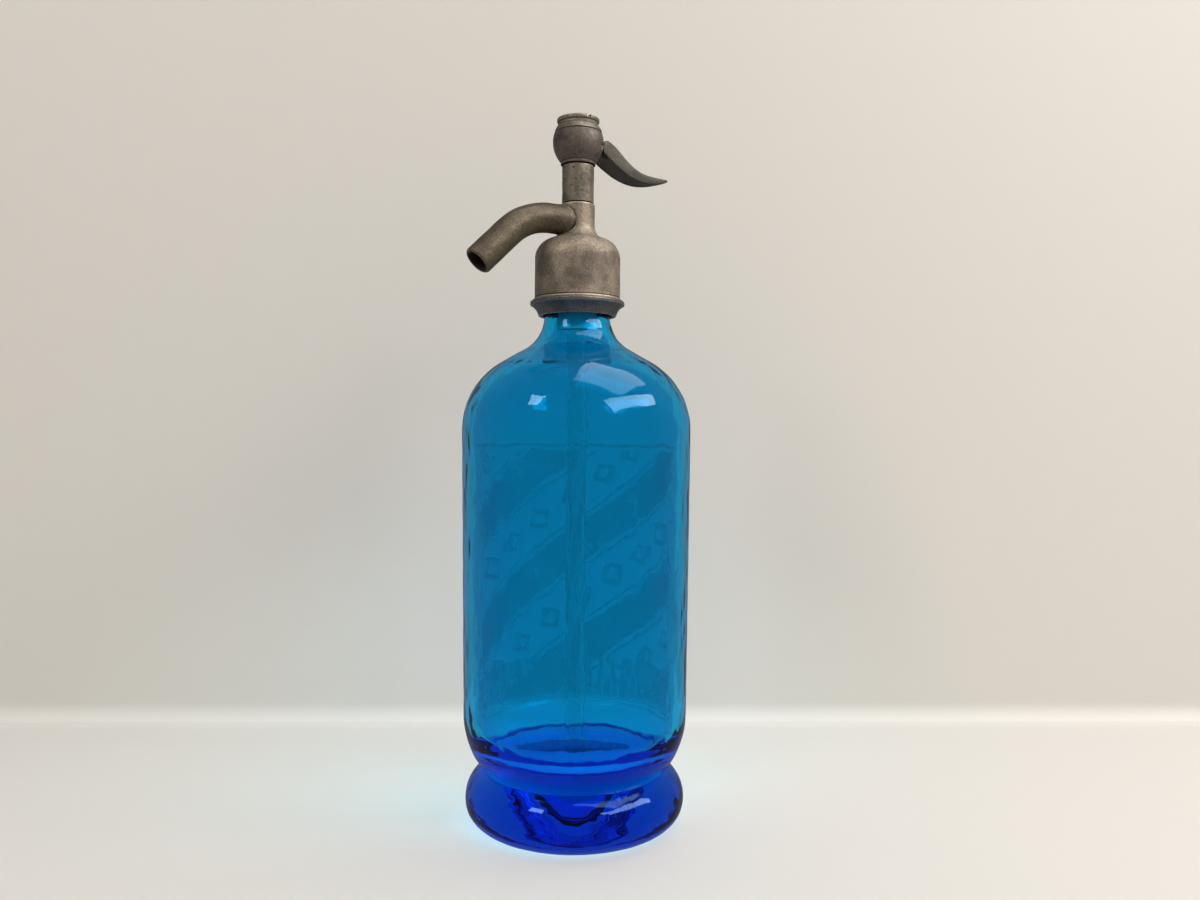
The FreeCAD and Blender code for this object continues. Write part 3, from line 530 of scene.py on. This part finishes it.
TARNISH = tarnish_group()
ETCHED = etched_group()
BLUE_GLASS = blue_glass()
TUBE_GLASS = clear_glass()
PEWTER = cast_metal("pewter", metal=(0.37, 0.292, 0.212), stain=(0.2, 0.16, 0.12), bloom=(0.31, 0.262, 0.2))
BULB_METAL = cast_metal("bulb_pewter", metal=(0.18, 0.14, 0.113), stain=(0.1, 0.072, 0.062),
                        bloom=(0.16, 0.143, 0.12), scale=1.2)
SPOUT_METAL = cast_metal("spout_pewter", metal=(0.15, 0.115, 0.072), stain=(0.095, 0.072, 0.047),
                         bloom=(0.125, 0.108, 0.068), scale=0.9, pitting=0.3)
RING_METAL = cast_metal("ring_pewter", metal=(0.16, 0.145, 0.135), stain=(0.1, 0.09, 0.084),
                        bloom=(0.13, 0.128, 0.122), sheen=0.36)
COLUMN_METAL = cast_metal("column_pewter", metal=(0.26, 0.215, 0.16), stain=(0.14, 0.11, 0.08),
                          bloom=(0.2, 0.18, 0.13), scale=1.4, pitting=1.4, relief=0.0003)
LEVER_METAL = cast_metal("lever_pewter", metal=(0.11, 0.095, 0.075), stain=(0.07, 0.06, 0.046),
                         bloom=(0.1, 0.092, 0.07), pitting=0.3, sheen=0.46)
BRASS = cast_metal("brass", metal=(0.6, 0.43, 0.18), stain=(0.36, 0.24, 0.1), bloom=(0.5, 0.4, 0.2),
                   pitting=0.1, metallic=1.0, relief=0.00004)
STEEL = cast_metal("spring_steel", metal=(0.55, 0.55, 0.56), stain=(0.4, 0.39, 0.38),
                   bloom=(0.5, 0.49, 0.46), pitting=0.1, sheen=0.3, metallic=1.0, relief=0.00003)
BLACK_RUBBER = soft_rubber("black_rubber", (0.03, 0.028, 0.027), 0.6)
PALE_RUBBER = soft_rubber("pale_rubber", (0.88, 0.92, 0.86), 0.55)
LEATHER = soft_rubber("leather", (0.16, 0.09, 0.05), 0.7)


# Bottle

WALL_TOP = 171.3
WALL = 4.9
NECK_RADIUS = 14.4
NECK_BORE = 9.5
SHOULDER_CURVE = 34.1
SHOULDER_TURN = math.radians(60.2)
NECK_FLARE = 17.1


def bottle_shoulder(wall, neck, curve, flare):
    """Corners of the shoulder between the wall line and the neck line."""
    drawn_in = curve * (1 - math.cos(SHOULDER_TURN))
    run = wall - neck - drawn_in - flare * (1 - math.cos(SHOULDER_TURN))
    rise = run * math.cos(SHOULDER_TURN) / math.sin(SHOULDER_TURN)
    top = WALL_TOP + curve * math.sin(SHOULDER_TURN)
    return [(wall, WALL_TOP), (wall - drawn_in, top, curve, 1), (wall - drawn_in - run, top + rise),
            (neck, top + rise + flare * math.sin(SHOULDER_TURN), flare, -1)]


def bottle_outline():
    bead, bead_height = 15.2, 8.0
    hollow, rim_inside, rim_outside = 5.0, 31.6, 38.6
    foot, foot_level, foot_curve = 47.8, 10.0, 10.4
    waist, waist_level, waist_curve = 40.0, 24.0, 14.2
    belly, belly_level, belly_curve = 48.8, 47.6, 36.0
    bowl, bowl_level, bowl_curve, bottom = 43.9, 47.0, 14.0, 33.0
    inside_curve, inside_flare = SHOULDER_CURVE - WALL, NECK_FLARE + WALL
    outside = [(0, hollow), (rim_inside, 0.0), (rim_outside, 0.0), (foot, foot_level, foot_curve, 1),
               (waist, waist_level, waist_curve, 1), (belly, belly_level, belly_curve, 1)]
    outside += bottle_shoulder(BOTTLE_RADIUS, NECK_RADIUS, SHOULDER_CURVE, NECK_FLARE)
    outside += [(NECK_RADIUS, BOTTLE_TOP - bead_height), (bead, BOTTLE_TOP - bead_height), (bead, BOTTLE_TOP),
                (NECK_BORE, BOTTLE_TOP)]
    # The inside comes down again, so its arcs run the other way
    wall_top, shoulder_low, shoulder_high, neck_foot = bottle_shoulder(
        BOTTLE_RADIUS - WALL, NECK_BORE, inside_curve, inside_flare)
    inside = [neck_foot[:2], (*shoulder_high, inside_flare, 1), shoulder_low[:2],
              (*wall_top, inside_curve, -1), (bowl, bowl_level),
              (bowl - bowl_curve, bottom, bowl_curve, -1), (0, bottom)]
    return outside + inside


def build_bottle():
    points = drawn(bottle_outline(), steps=28)
    points = divided(softened(points, 2.2, steps=6), 4.0)
    mesh = lathe_mesh("glass_bottle", points, 0.0, 256, wobble=0.12, seed=3.0)
    piece = mesh_object("glass_bottle", mesh, BLUE_GLASS)
    settle(piece, "bottle")
    # Light goes through the glass, so the floor under the foot stays bright and lights it up
    piece.visible_shadow = False


# Turned metal of the head

# Dirt lies this far up and down from a joint line
JOINT_DIRT = 0.36
CHAMFER = 0.45
SOCKET_RADIUS = 5.55
BELL_FOOT = 19.3


def turned_piece(name, corners, base, material, soft=0.35, wobble=0.06, seed=0.0, longest=1.2, joints=()):
    """A part of the head turned from its outline, with dirt settled at the joints' heights."""
    points = divided(softened(drawn(corners), soft), longest)
    mesh = lathe_mesh(name, points, base, 160, wobble, seed)
    wear_and_shade = mesh.attributes["wear_and_shade"].data
    for vert in mesh.vertices:
        if any(abs(vert.co.z / MM - joint) < JOINT_DIRT for joint in joints):
            wear_and_shade[vert.index].value = -1.0
    return mesh_object(name, mesh, material)


def settle(piece, node, body="housing"):
    """Puts a finished piece in its node's place, on its body."""
    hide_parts(node)
    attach(piece, body)


def build_ring():
    hole, foot, thread, thread_bore, sleeve = 15.3, 17.0, 17.3, 16.4, 9
    flange, cove_base, cove_top, cove_curve, rounding, ledge = 20.7, 1.2, 4.9, 6.5, 0.9, 2.9
    top = BELL_BASE - RING_BASE
    corners = [(hole, 0), (foot, 0), (foot + 0.4, cove_base), (flange, cove_top, cove_curve, -1),
               (flange, top - rounding), (flange - rounding, top, rounding, 1), (BELL_FOOT, top),
               (thread, top), (thread, top + sleeve), (thread_bore, top + sleeve), (thread_bore, ledge),
               (hole, ledge)]
    piece = turned_piece("cast_neck_ring", corners, RING_BASE, RING_METAL, seed=11.0)
    settle(piece, "neck_ring")


def build_bell():
    lip, skirt_base, skirt, skirt_top = 0.7, 1.2, 18.7, 19.2
    crown, crown_level, crown_curve, flare_top, flare_curve = 11.6, 27.2, 9.0, 33.0, 6.5
    socket_depth, way, nipple_bore, nipple_depth, thread = 3.4, 4.9, 7.05, 11.8, 17.4
    top = STEM_TOP - BELL_BASE
    ceiling = high("neck_gasket") - BELL_BASE
    shelf = low("valve_seat") - BELL_BASE + nipple_depth
    corners = [(BELL_FOOT, 0), (BELL_FOOT, lip), (skirt, skirt_base), (skirt, skirt_top),
               (crown, crown_level, crown_curve, 1), (STEM_RADIUS, flare_top, flare_curve, -1),
               (STEM_RADIUS, top - CHAMFER), (STEM_RADIUS - CHAMFER, top), (SOCKET_RADIUS, top),
               (SOCKET_RADIUS, top - socket_depth), (way, top - socket_depth), (way, shelf),
               (nipple_bore, shelf), (nipple_bore, ceiling), (thread, ceiling), (thread, 0)]
    piece = turned_piece("cast_bell", corners, BELL_BASE, PEWTER, soft=0.5, wobble=0.1, seed=21.0,
                         joints=(STEM_TOP,))
    settle(piece, "bell")


def build_column():
    outside, spigot, rod_way, bore, floor = 6.95, 5.5, 2.45, 4.6, 0.2
    base = low("column")
    foot = STEM_TOP - base
    top = BULB_BASE - base
    tip = high("column") - base
    corners = [(rod_way, 0), (spigot, 0), (spigot, foot), (outside - CHAMFER, foot),
               (outside, foot + CHAMFER), (outside, top - CHAMFER), (outside - CHAMFER, top),
               (spigot, top), (spigot, tip), (bore, tip), (bore, foot + floor), (rod_way, foot + floor)]
    piece = turned_piece("cast_column", corners, base, COLUMN_METAL, soft=0.25, wobble=0.12, seed=31.0,
                         longest=0.5, joints=(STEM_TOP, BULB_BASE))
    settle(piece, "column")


# Cutting, and the pieces that need it

def carve(piece, *cutters):
    """Takes the cutters out of a piece and keeps its edges crisp where they went through."""
    for cutter in cutters:
        cut = piece.modifiers.new("cut", "BOOLEAN")
        cut.operation = "DIFFERENCE"
        cut.solver = "EXACT"
        cut.object = cutter
    plain_mesh(piece)
    for cutter in cutters:
        bpy.data.objects.remove(cutter)
    piece.data.set_sharp_from_angle(angle=math.radians(38))


def plain_mesh(piece):
    """Keeps what a piece's modifiers make as its own mesh."""
    bpy.context.view_layer.update()
    made = piece.evaluated_get(bpy.context.evaluated_depsgraph_get())
    mesh = bpy.data.meshes.new_from_object(made)
    piece.modifiers.clear()
    piece.data = mesh


def box_cutter(low_corner, high_corner):
    shape = bmesh.new()
    bmesh.ops.create_cube(shape, size=1.0)
    for vert in shape.verts:
        for axis in range(3):
            edge = high_corner if vert.co[axis] > 0 else low_corner
            vert.co[axis] = edge[axis] * MM
    return linked_object("cutter", finished_mesh(shape, "cutter"))


def pin_cutter(radius):
    shape = bmesh.new()
    turn = Matrix.Translation((PIVOT_X * MM, 0, PIVOT_Z * MM)) @ Matrix.Rotation(math.pi / 2, 4, "X")
    bmesh.ops.create_cone(shape, cap_ends=True, segments=32, radius1=radius * MM, radius2=radius * MM,
                          depth=0.04, matrix=turn)
    return linked_object("cutter", finished_mesh(shape, "cutter"))


def build_bulb():
    foot, foot_height, belly, belly_level, curve = 7.7, 1.5, 11.1, 11.2, 13.0
    mouth, thread, thread_base, bore, floor = 10.5, 8.6, 10.9, 8.0, 3.0
    slot_half, slot_base, slot_top, slot_reach, pin_hole = 3.8, 3.9, 11.4, 14, 1.325
    top = high("bulb") - BULB_BASE
    corners = [(SOCKET_RADIUS, 0), (foot - CHAMFER, 0), (foot, CHAMFER), (foot, foot_height),
               (belly, belly_level, curve, 1), (mouth, top, curve, 1), (thread, top), (thread, thread_base),
               (bore, thread_base), (bore, floor), (SOCKET_RADIUS, floor)]
    piece = turned_piece("cast_bulb", corners, BULB_BASE, BULB_METAL, soft=0.3, wobble=0.1, seed=41.0,
                         joints=(BULB_BASE,))
    slot = box_cutter((0, -slot_half, BULB_BASE + slot_base), (slot_reach, slot_half, BULB_BASE + slot_top))
    carve(piece, slot, pin_cutter(pin_hole))
    settle(piece, "bulb")


def build_cap():
    bore, thread, seat, brim, brim_curve = 6.9, 8.5, 3.6, 10.4, 6.0
    waist, waist_base, waist_top, rim, rim_base, edge, ceiling = 8.9, 6.3, 7.6, 9.3, 8.0, 0.4, 7.8
    slot_half, slot_depth, slot_reach = 1.1, 1.2, 14
    top = 9.5
    corners = [(bore, 0), (thread, 0), (thread, seat), (brim, seat), (waist, waist_base, brim_curve, 1),
               (waist, waist_top), (rim, rim_base), (rim, top - edge), (rim - CHAMFER, top), (0, top),
               (0, ceiling), (bore, ceiling)]
    piece = turned_piece("cast_cap", corners, low("cap"), COLUMN_METAL, soft=0.3, wobble=0.16, seed=51.0,
                         longest=0.7)
    slot = box_cutter((-slot_half, -slot_reach, CAP_TOP - slot_depth), (slot_half, slot_reach, CAP_TOP + 3))
    carve(piece, slot)
    settle(piece, "cap")


# Spout

def bend_tree():
    """Bends a straight pipe that lies along X: a level run, one bend down, a straight tail."""
    tree = bpy.data.node_groups.new("bend_down", "GeometryNodeTree")
    sockets = [("Geometry", "NodeSocketGeometry")]
    sockets += [(label, "NodeSocketFloat") for label in ("Run", "Bend", "Drop", "Level")]
    sockets += [("Material", "NodeSocketMaterial")]
    for label, kind in sockets:
        tree.interface.new_socket(label, in_out="INPUT", socket_type=kind)
    tree.interface.new_socket("Geometry", in_out="OUTPUT", socket_type="NodeSocketGeometry")
    inward = tree.nodes.new("NodeGroupInput").outputs
    outward = tree.nodes.new("NodeGroupOutput")
    place = tree.nodes.new("ShaderNodeSeparateXYZ")
    link(tree, tree.nodes.new("GeometryNodeInputPosition").outputs[0], place.inputs[0])
    along, side, over = place.outputs
    # How far past the run a point lies, how far it has turned, and what is left for the tail
    past = higher(tree, minus(tree, along, inward["Run"]), 0.0)
    turn = lower(tree, math_node(tree, "DIVIDE", past, inward["Bend"]), inward["Drop"])
    tail = higher(tree, minus(tree, past, times(tree, inward["Bend"], inward["Drop"])), 0.0)
    sine = math_node(tree, "SINE", turn)
    cosine = math_node(tree, "COSINE", turn)
    arm = plus(tree, inward["Bend"], over)
    across = plus(tree, times(tree, arm, sine), times(tree, tail, cosine))
    across = plus(tree, lower(tree, along, inward["Run"]), across)
    rise = minus(tree, times(tree, arm, cosine), inward["Bend"])
    rise = minus(tree, rise, times(tree, tail, sine))
    where = tree.nodes.new("ShaderNodeCombineXYZ")
    link(tree, minus(tree, 0.0, across), where.inputs[0])
    link(tree, side, where.inputs[1])
    link(tree, plus(tree, rise, inward["Level"]), where.inputs[2])
    move = tree.nodes.new("GeometryNodeSetPosition")
    link(tree, inward["Geometry"], move.inputs["Geometry"])
    link(tree, where.outputs[0], move.inputs["Position"])
    real = tree.nodes.new("GeometryNodeRealizeInstances")
    link(tree, move.outputs[0], real.inputs[0])
    paint = tree.nodes.new("GeometryNodeSetMaterial")
    link(tree, real.outputs[0], paint.inputs["Geometry"])
    link(tree, inward["Material"], paint.inputs["Material"])
    link(tree, paint.outputs[0], outward.inputs[0])
    return tree


def run_tree(piece, tree, **values):
    """Runs a geometry tree on a piece with its named inputs, and keeps the result."""
    modifier = piece.modifiers.new(tree.name, "NODES")
    modifier.node_group = tree
    for item in tree.interface.items_tree:
        if item.item_type == "SOCKET" and item.in_out == "INPUT" and item.name in values:
            modifier[item.identifier] = values[item.name]
    plain_mesh(piece)


def mark_seam_and_bore_shade(mesh):
    """Painted shade inside the pipe, dirt where it meets the round stem, and a low bead beside that line."""
    bore_edge, seam_dirt, seam_reach = 4.8, 0.9, 3.5
    rubbed_place, bead_place, bead_spread, bead_height = 1.6, 0.9, 0.55, 0.045
    wear_and_shade = mesh.attributes["wear_and_shade"].data
    for vert in mesh.vertices:
        from_stem = math.hypot(vert.co.x, vert.co.y) / MM - STEM_RADIUS
        from_axis = math.hypot(vert.co.y, vert.co.z) / MM
        # Painted shade: the bore and the inner edge of the mouth are marked darkest, for the shade inside the
        # pipe
        if from_axis < bore_edge:
            wear_and_shade[vert.index].value = -1.0
        elif from_stem <= seam_reach:
            rubbed = 0.35 * math.exp(-(from_stem - rubbed_place) ** 2)
            wear_and_shade[vert.index].value = -1.0 if from_stem < seam_dirt else rubbed
            bead = 1.0 + bead_height * math.exp(-((from_stem - bead_place) / bead_spread) ** 2)
            vert.co.y *= bead
            vert.co.z *= bead


def build_spout():
    bore, root, run, bend, drop, tail = 4.2, 4.3, 14.0, 28.3, math.radians(44.3), 20.0
    foot_face, foot, foot_rounding, foot_length, foot_end = 6.0, 6.7, 0.8, 3.0, 6.65
    taper_length, rim, rim_length, lip, lip_length = 9.0, 0.5, 0.7, 0.3, 0.4
    length = run + bend * drop + tail
    corners = [(bore, root), (foot_face, root), (foot, root + foot_rounding, foot_rounding, 1),
               (foot_end, root + foot_length), (SPOUT_RADIUS, root + taper_length),
               (SPOUT_RADIUS, length - rim_length), (SPOUT_RADIUS - rim, length), (bore + lip, length),
               (bore, length - lip_length)]
    points = divided(softened(drawn(corners), 0.5), 0.4)
    mesh = lathe_mesh("bent_spout", points, 0.0, 128, wobble=0.1, seed=61.0)
    mesh.transform(Matrix.Rotation(math.pi / 2, 4, "Y"))
    mark_seam_and_bore_shade(mesh)
    piece = mesh_object("bent_spout", mesh, SPOUT_METAL)
    run_tree(piece, bend_tree(), Run=run * MM, Bend=bend * MM, Drop=drop, Level=SPOUT_LEVEL * MM,
             Material=SPOUT_METAL)
    settle(piece, "spout")


# Lever

# The blade's root is hollowed to this radius round the bulb's axis
HUG_RADIUS = 11.4
BLADE_TIP = 46.95

# The blade's upper and lower lines above the pivot, and its half breadth, by the reach along X
BLADE_TOP = [(HUG_RADIUS, 3.6), (13.0, 4.2), (16.0, 2.6), (20.0, -0.6), (24.0, -3.5), (28.0, -5.6),
             (32.5, -7.0), (38.0, -7.5), (43.0, -7.5), (BLADE_TIP, -7.4)]
BLADE_BOTTOM = [(HUG_RADIUS, -2.0), (13.0, -3.5), (16.0, -6.0), (20.0, -8.5), (24.0, -10.2), (28.0, -11.3),
                (32.5, -11.7), (38.0, -11.1), (43.0, -9.8), (BLADE_TIP, -8.6)]
BLADE_HALF = [(HUG_RADIUS, 5.9), (14.0, 5.9), (20.0, 5.4), (28.0, 4.6), (34.0, 3.8), (40.0, 2.9), (44.5, 2.1),
              (BLADE_TIP, 1.3)]


def along_line(stations, place):
    """The value at a place between the stations (place, value), eased with a smooth cubic."""
    for index in range(len(stations) - 1):
        left, right = stations[index], stations[index + 1]
        if place <= right[0]:
            break
    gap = right[0] - left[0]
    t = max(0.0, min(1.0, (place - left[0]) / gap))
    before = stations[max(index - 1, 0)]
    after = stations[min(index + 2, len(stations) - 1)]
    leave = (right[1] - before[1]) / (right[0] - before[0]) * gap
    arrive = (after[1] - left[1]) / (after[0] - left[0]) * gap
    return ((2 * t ** 3 - 3 * t ** 2 + 1) * left[1] + (t ** 3 - 2 * t ** 2 + t) * leave
            + (3 * t ** 2 - 2 * t ** 3) * right[1] + (t ** 3 - t ** 2) * arrive)


def blade_section(top, bottom, half):
    """A section across the blade: a rounded back, flat sides and a hollow underside."""
    back_steps, heel_steps = 12, 6
    height = top - bottom
    crown = min(0.34 * height, 1.7)
    heel = min(0.14 * height, 0.7)
    side = min(0.45 * half, 1.9)
    hollow = 0.1 * height
    ring = []
    for k in range(back_steps + 1):
        turn = math.pi / 2 * k / back_steps
        ring.append((half - side * (1 - math.sin(turn)), top - crown * (1 - math.cos(turn))))
    for k in range(heel_steps + 1):
        turn = math.pi / 2 * k / heel_steps
        ring.append((half - heel * (1 - math.cos(turn)), bottom + heel * (1 - math.sin(turn))))
    mirrored = [(-across, up) for across, up in reversed(ring)]
    under = [(half * (0.8 - 0.2 * k), bottom + hollow * (1 - (0.8 - 0.2 * k) ** 2)) for k in range(9)]
    back = [(half * (-0.5 + 0.25 * k), top) for k in range(5)]
    return ring + under + mirrored + back


def build_blade():
    stations, hug_share, hug_fade, deepest = 72, 5, 1.4, 40
    shape = bmesh.new()
    wear_and_shade = shape.verts.layers.float.new("wear_and_shade")
    rings = []
    for step in range(stations + 1):
        reach = HUG_RADIUS + (BLADE_TIP - HUG_RADIUS) * step / stations
        top, bottom, half = (along_line(line, reach) for line in (BLADE_TOP, BLADE_BOTTOM, BLADE_HALF))
        fade = max(0.0, 1 - step / stations * hug_share) ** hug_fade
        ring = []
        for across, up in blade_section(top, bottom, half):
            pull = (HUG_RADIUS - math.sqrt(HUG_RADIUS ** 2 - min(across * across, deepest))) * fade
            vert = shape.verts.new(((reach - pull) * MM, across * MM, (PIVOT_Z + up) * MM))
            vert[wear_and_shade] = 0.0
            ring.append(vert)
        rings.append(ring)
    for ring, after in zip(rings, rings[1:]):
        join_rings(shape, ring, after)
    shape.faces.new(rings[0])
    shape.faces.new(rings[-1])
    bmesh.ops.remove_doubles(shape, verts=shape.verts, dist=0.00002)
    bmesh.ops.recalc_face_normals(shape, faces=shape.faces)
    piece = mesh_object("lever_blade", finished_mesh(shape, "lever_blade"), LEVER_METAL)
    piece.data.set_sharp_from_angle(angle=math.radians(50))
    return piece


def plate(name, corners, half):
    """A plate cut from a side outline about the pivot, centred on the XZ plane."""
    shape = bmesh.new()
    points = drawn(corners, steps=10)
    front, back = ([shape.verts.new((point.x * MM, place * MM, (PIVOT_Z + point.y) * MM)) for point in points]
                   for place in (-half, half))
    join_rings(shape, front, back)
    shape.faces.new(front)
    shape.faces.new(back)
    bmesh.ops.recalc_face_normals(shape, faces=shape.faces)
    return mesh_object(name, finished_mesh(shape, name), LEVER_METAL)


def build_lever():
    arm_start, arm_end, arm_half, eye, eye_curve = 6.2, 13.0, 3.55, 2.6, 2.9
    finger_end, finger_radius, finger_root, finger_half, pin_hole = 6.3, 1.3, 1.2, 2.5, 1.35
    blade = build_blade()
    side = [(arm_start, 1.25), (arm_start, -1.25), (PIVOT_X, -eye, eye_curve, 1), (arm_end, -3.9),
            (arm_end, 3.0), (11.2, 3.0), (PIVOT_X, eye)]
    arm = plate("lever_arm", side, arm_half)
    carve(arm, pin_cutter(pin_hole))
    # The tip's radius is a hair over half its height, so that its arc can be drawn
    side = [(0.0, finger_radius), (0.0, -finger_radius, finger_radius + 0.0001, 1),
            (finger_end, -finger_root), (finger_end, finger_root)]
    finger = plate("lever_finger", side, finger_half)
    for piece in (blade, arm, finger):
        settle(piece, "lever", "lever")


# Spring


def build_spring():
    """The spring's own coil, which presses against the cap."""
    shape = bmesh.new()
    shape.from_mesh(NODES["spring"].data)
    bmesh.ops.remove_doubles(shape, verts=shape.verts, dist=0.00001)
    piece = mesh_object("pressed_spring", finished_mesh(shape, "pressed_spring"), STEEL)
    settle(piece, "spring")
    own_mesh(piece)


# Finishes of the pieces that keep their shape

FINISHES = {
    "dip_tube": TUBE_GLASS, "tube_sleeve": PALE_RUBBER, "tube_seal": BLACK_RUBBER,
    "neck_gasket": BLACK_RUBBER, "valve_washer": BLACK_RUBBER, "cap_washer": BLACK_RUBBER,
    "packing_ring": LEATHER, "lever_pin": LEVER_METAL,
    "collar_half_front": BRASS, "collar_half_back": BRASS, "valve_seat": BRASS, "gland_nut": BRASS,
    "piston_rod": BRASS, "rod_head": BRASS, "washer_screw": BRASS,
}


def finish_kept_pieces():
    for node_name, finish in FINISHES.items():
        slots = NODES[node_name].material_slots
        for material_slot in slots:
            material_slot.material = finish
        if not slots:
            NODES[node_name].data.materials.append(finish)


# Floor, wall, light and camera

CAMERA_AZIMUTH = math.radians(-30)
CAMERA_DISTANCE = 0.42825
CAMERA_HEIGHT = 0.16777
CAMERA_ROLL = math.radians(0.35)
FOCAL_PIXELS = 971.0
FRAME_WIDTH = 1200.0
FRAME_HEIGHT = 900.0
AXIS_COLUMN = 576.5
HORIZON_ROW = 438.2
WALL_COLOUR = (0.74, 0.7, 0.63)
FLOOR_COLOUR = (0.69, 0.655, 0.6)


def plain_material(name, colour):
    material, tree, shader = new_material(name)
    shader.inputs["Base Color"].default_value = (*colour, 1)
    shader.inputs["Roughness"].default_value = 0.6
    return material, tree, shader


def wall_paint():
    """Pale from the front and clear from behind, so that the back of the bottle can be seen."""
    material, tree, shader = plain_material("pale_wall", WALL_COLOUR)
    behind = tree.nodes.new("ShaderNodeNewGeometry").outputs["Backfacing"]
    clear = tree.nodes.new("ShaderNodeBsdfTransparent").outputs[0]
    both = choose(tree, behind, shader.outputs[0], clear)
    link(tree, both, tree.nodes["Material Output"].inputs["Surface"])
    return material


def stage_sheet(name, line, material):
    """A wide sheet across the camera's view, whose side view is a line of (along, up)."""
    half, sunk = 2.6, 0.0002
    toward = Vector((-math.sin(CAMERA_AZIMUTH), math.cos(CAMERA_AZIMUTH), 0))
    side = Vector((toward.y, -toward.x, 0))
    places = []
    for along, up in line:
        for sign in (-1, 1):
            places.append(tuple(toward * along + side * sign * half + Vector((0, 0, up - sunk))))
    faces = [(2 * k, 2 * k + 1, 2 * k + 3, 2 * k + 2) for k in range(len(line) - 1)]
    mesh = bpy.data.meshes.new(name)
    mesh.from_pydata(places, [], faces)
    piece = mesh_object(name, mesh, material)
    # Kept out of reflections, so that the glass stays deep blue
    piece.visible_glossy = False


def build_backdrop():
    """A pale floor that curves up into a pale wall behind the bottle."""
    front, reach, bend, height, steps = -1.6, 0.131, 0.012, 1.6, 8
    line = [(front, 0.0), (reach, 0.0)]
    for k in range(1, steps + 1):
        turn = math.pi / 2 * k / steps
        line.append((reach + bend * math.sin(turn), bend * (1 - math.cos(turn))))
    line.append((reach + bend, height))
    middle = steps // 2
    stage_sheet("floor", line[:middle + 1], plain_material("pale_floor", FLOOR_COLOUR)[0])
    stage_sheet("wall", line[middle:], wall_paint())


def area_light(name, place, aim, width, height, watts, colour=(1, 1, 1)):
    light = bpy.data.lights.new(name, "AREA")
    light.shape = "RECTANGLE"
    light.size = width
    light.size_y = height
    light.energy = watts
    light.color = colour
    lamp = linked_object(name, light)
    lamp.location = place
    lamp.rotation_euler = (Vector(aim) - Vector(place)).to_track_quat("-Z", "Y").to_euler()


def room_shade(shade, colour, strength):
    shade.inputs["Color"].default_value = (*colour, 1)
    shade.inputs["Strength"].default_value = strength
    return shade.outputs[0]


def build_light():
    world = bpy.data.worlds.new("soft_room")
    bpy.context.scene.world = world
    world.use_nodes = True
    tree = world.node_tree
    # Seen straight or through the glass, the room is as pale as the wall
    path = tree.nodes.new("ShaderNodeLightPath").outputs
    seen = higher(tree, path["Is Camera Ray"], path["Is Transmission Ray"])
    dim = room_shade(tree.nodes["Background"], (0.86, 0.9, 1.0), 0.2)
    pale = room_shade(tree.nodes.new("ShaderNodeBackground"), WALL_COLOUR, 0.95)
    link(tree, choose(tree, seen, dim, pale), tree.nodes["World Output"].inputs["Surface"])
    area_light("window_left", (-1.5, -0.35, 1.35), (0, 0, 0.2), 0.45, 0.45, 8.0, (1.0, 0.98, 0.95))
    area_light("window_right", (0.95, -1.35, 1.3), (0, 0, 0.2), 1.9, 0.5, 27.0, (1.0, 0.98, 0.97))
    area_light("ceiling", (0.5, -0.45, 1.75), (0, 0, 0.1), 1.3, 1.3, 19.0)
    # The plain transform keeps the blue as deep as it is lit
    bpy.context.scene.view_settings.view_transform = "Standard"


def build_camera():
    """Stands where the bottle's outline was fitted from, turned to frame the picture."""
    camera = bpy.data.cameras.new("camera")
    camera.sensor_width = 36.0
    camera.lens = FOCAL_PIXELS / FRAME_WIDTH * camera.sensor_width
    camera.clip_start = 0.01
    viewer = linked_object("camera", camera)
    back = Vector((math.sin(CAMERA_AZIMUTH), -math.cos(CAMERA_AZIMUTH), 0))
    viewer.location = back * CAMERA_DISTANCE + Vector((0, 0, CAMERA_HEIGHT))
    yaw = -math.atan((FRAME_WIDTH / 2 - AXIS_COLUMN) / FOCAL_PIXELS)
    pitch = -math.atan((FRAME_HEIGHT / 2 - HORIZON_ROW) / FOCAL_PIXELS)
    turn = Matrix.Rotation(CAMERA_AZIMUTH + yaw, 3, "Z")
    turn = turn @ Matrix.Rotation(math.pi / 2 + pitch, 3, "X") @ Matrix.Rotation(CAMERA_ROLL, 3, "Z")
    viewer.rotation_euler = turn.to_euler()
    bpy.context.scene.camera = viewer


build_bottle()
build_ring()
build_bell()
build_column()
build_bulb()
build_cap()
build_spout()
build_lever()
build_spring()
finish_kept_pieces()
build_backdrop()
build_light()
build_camera()
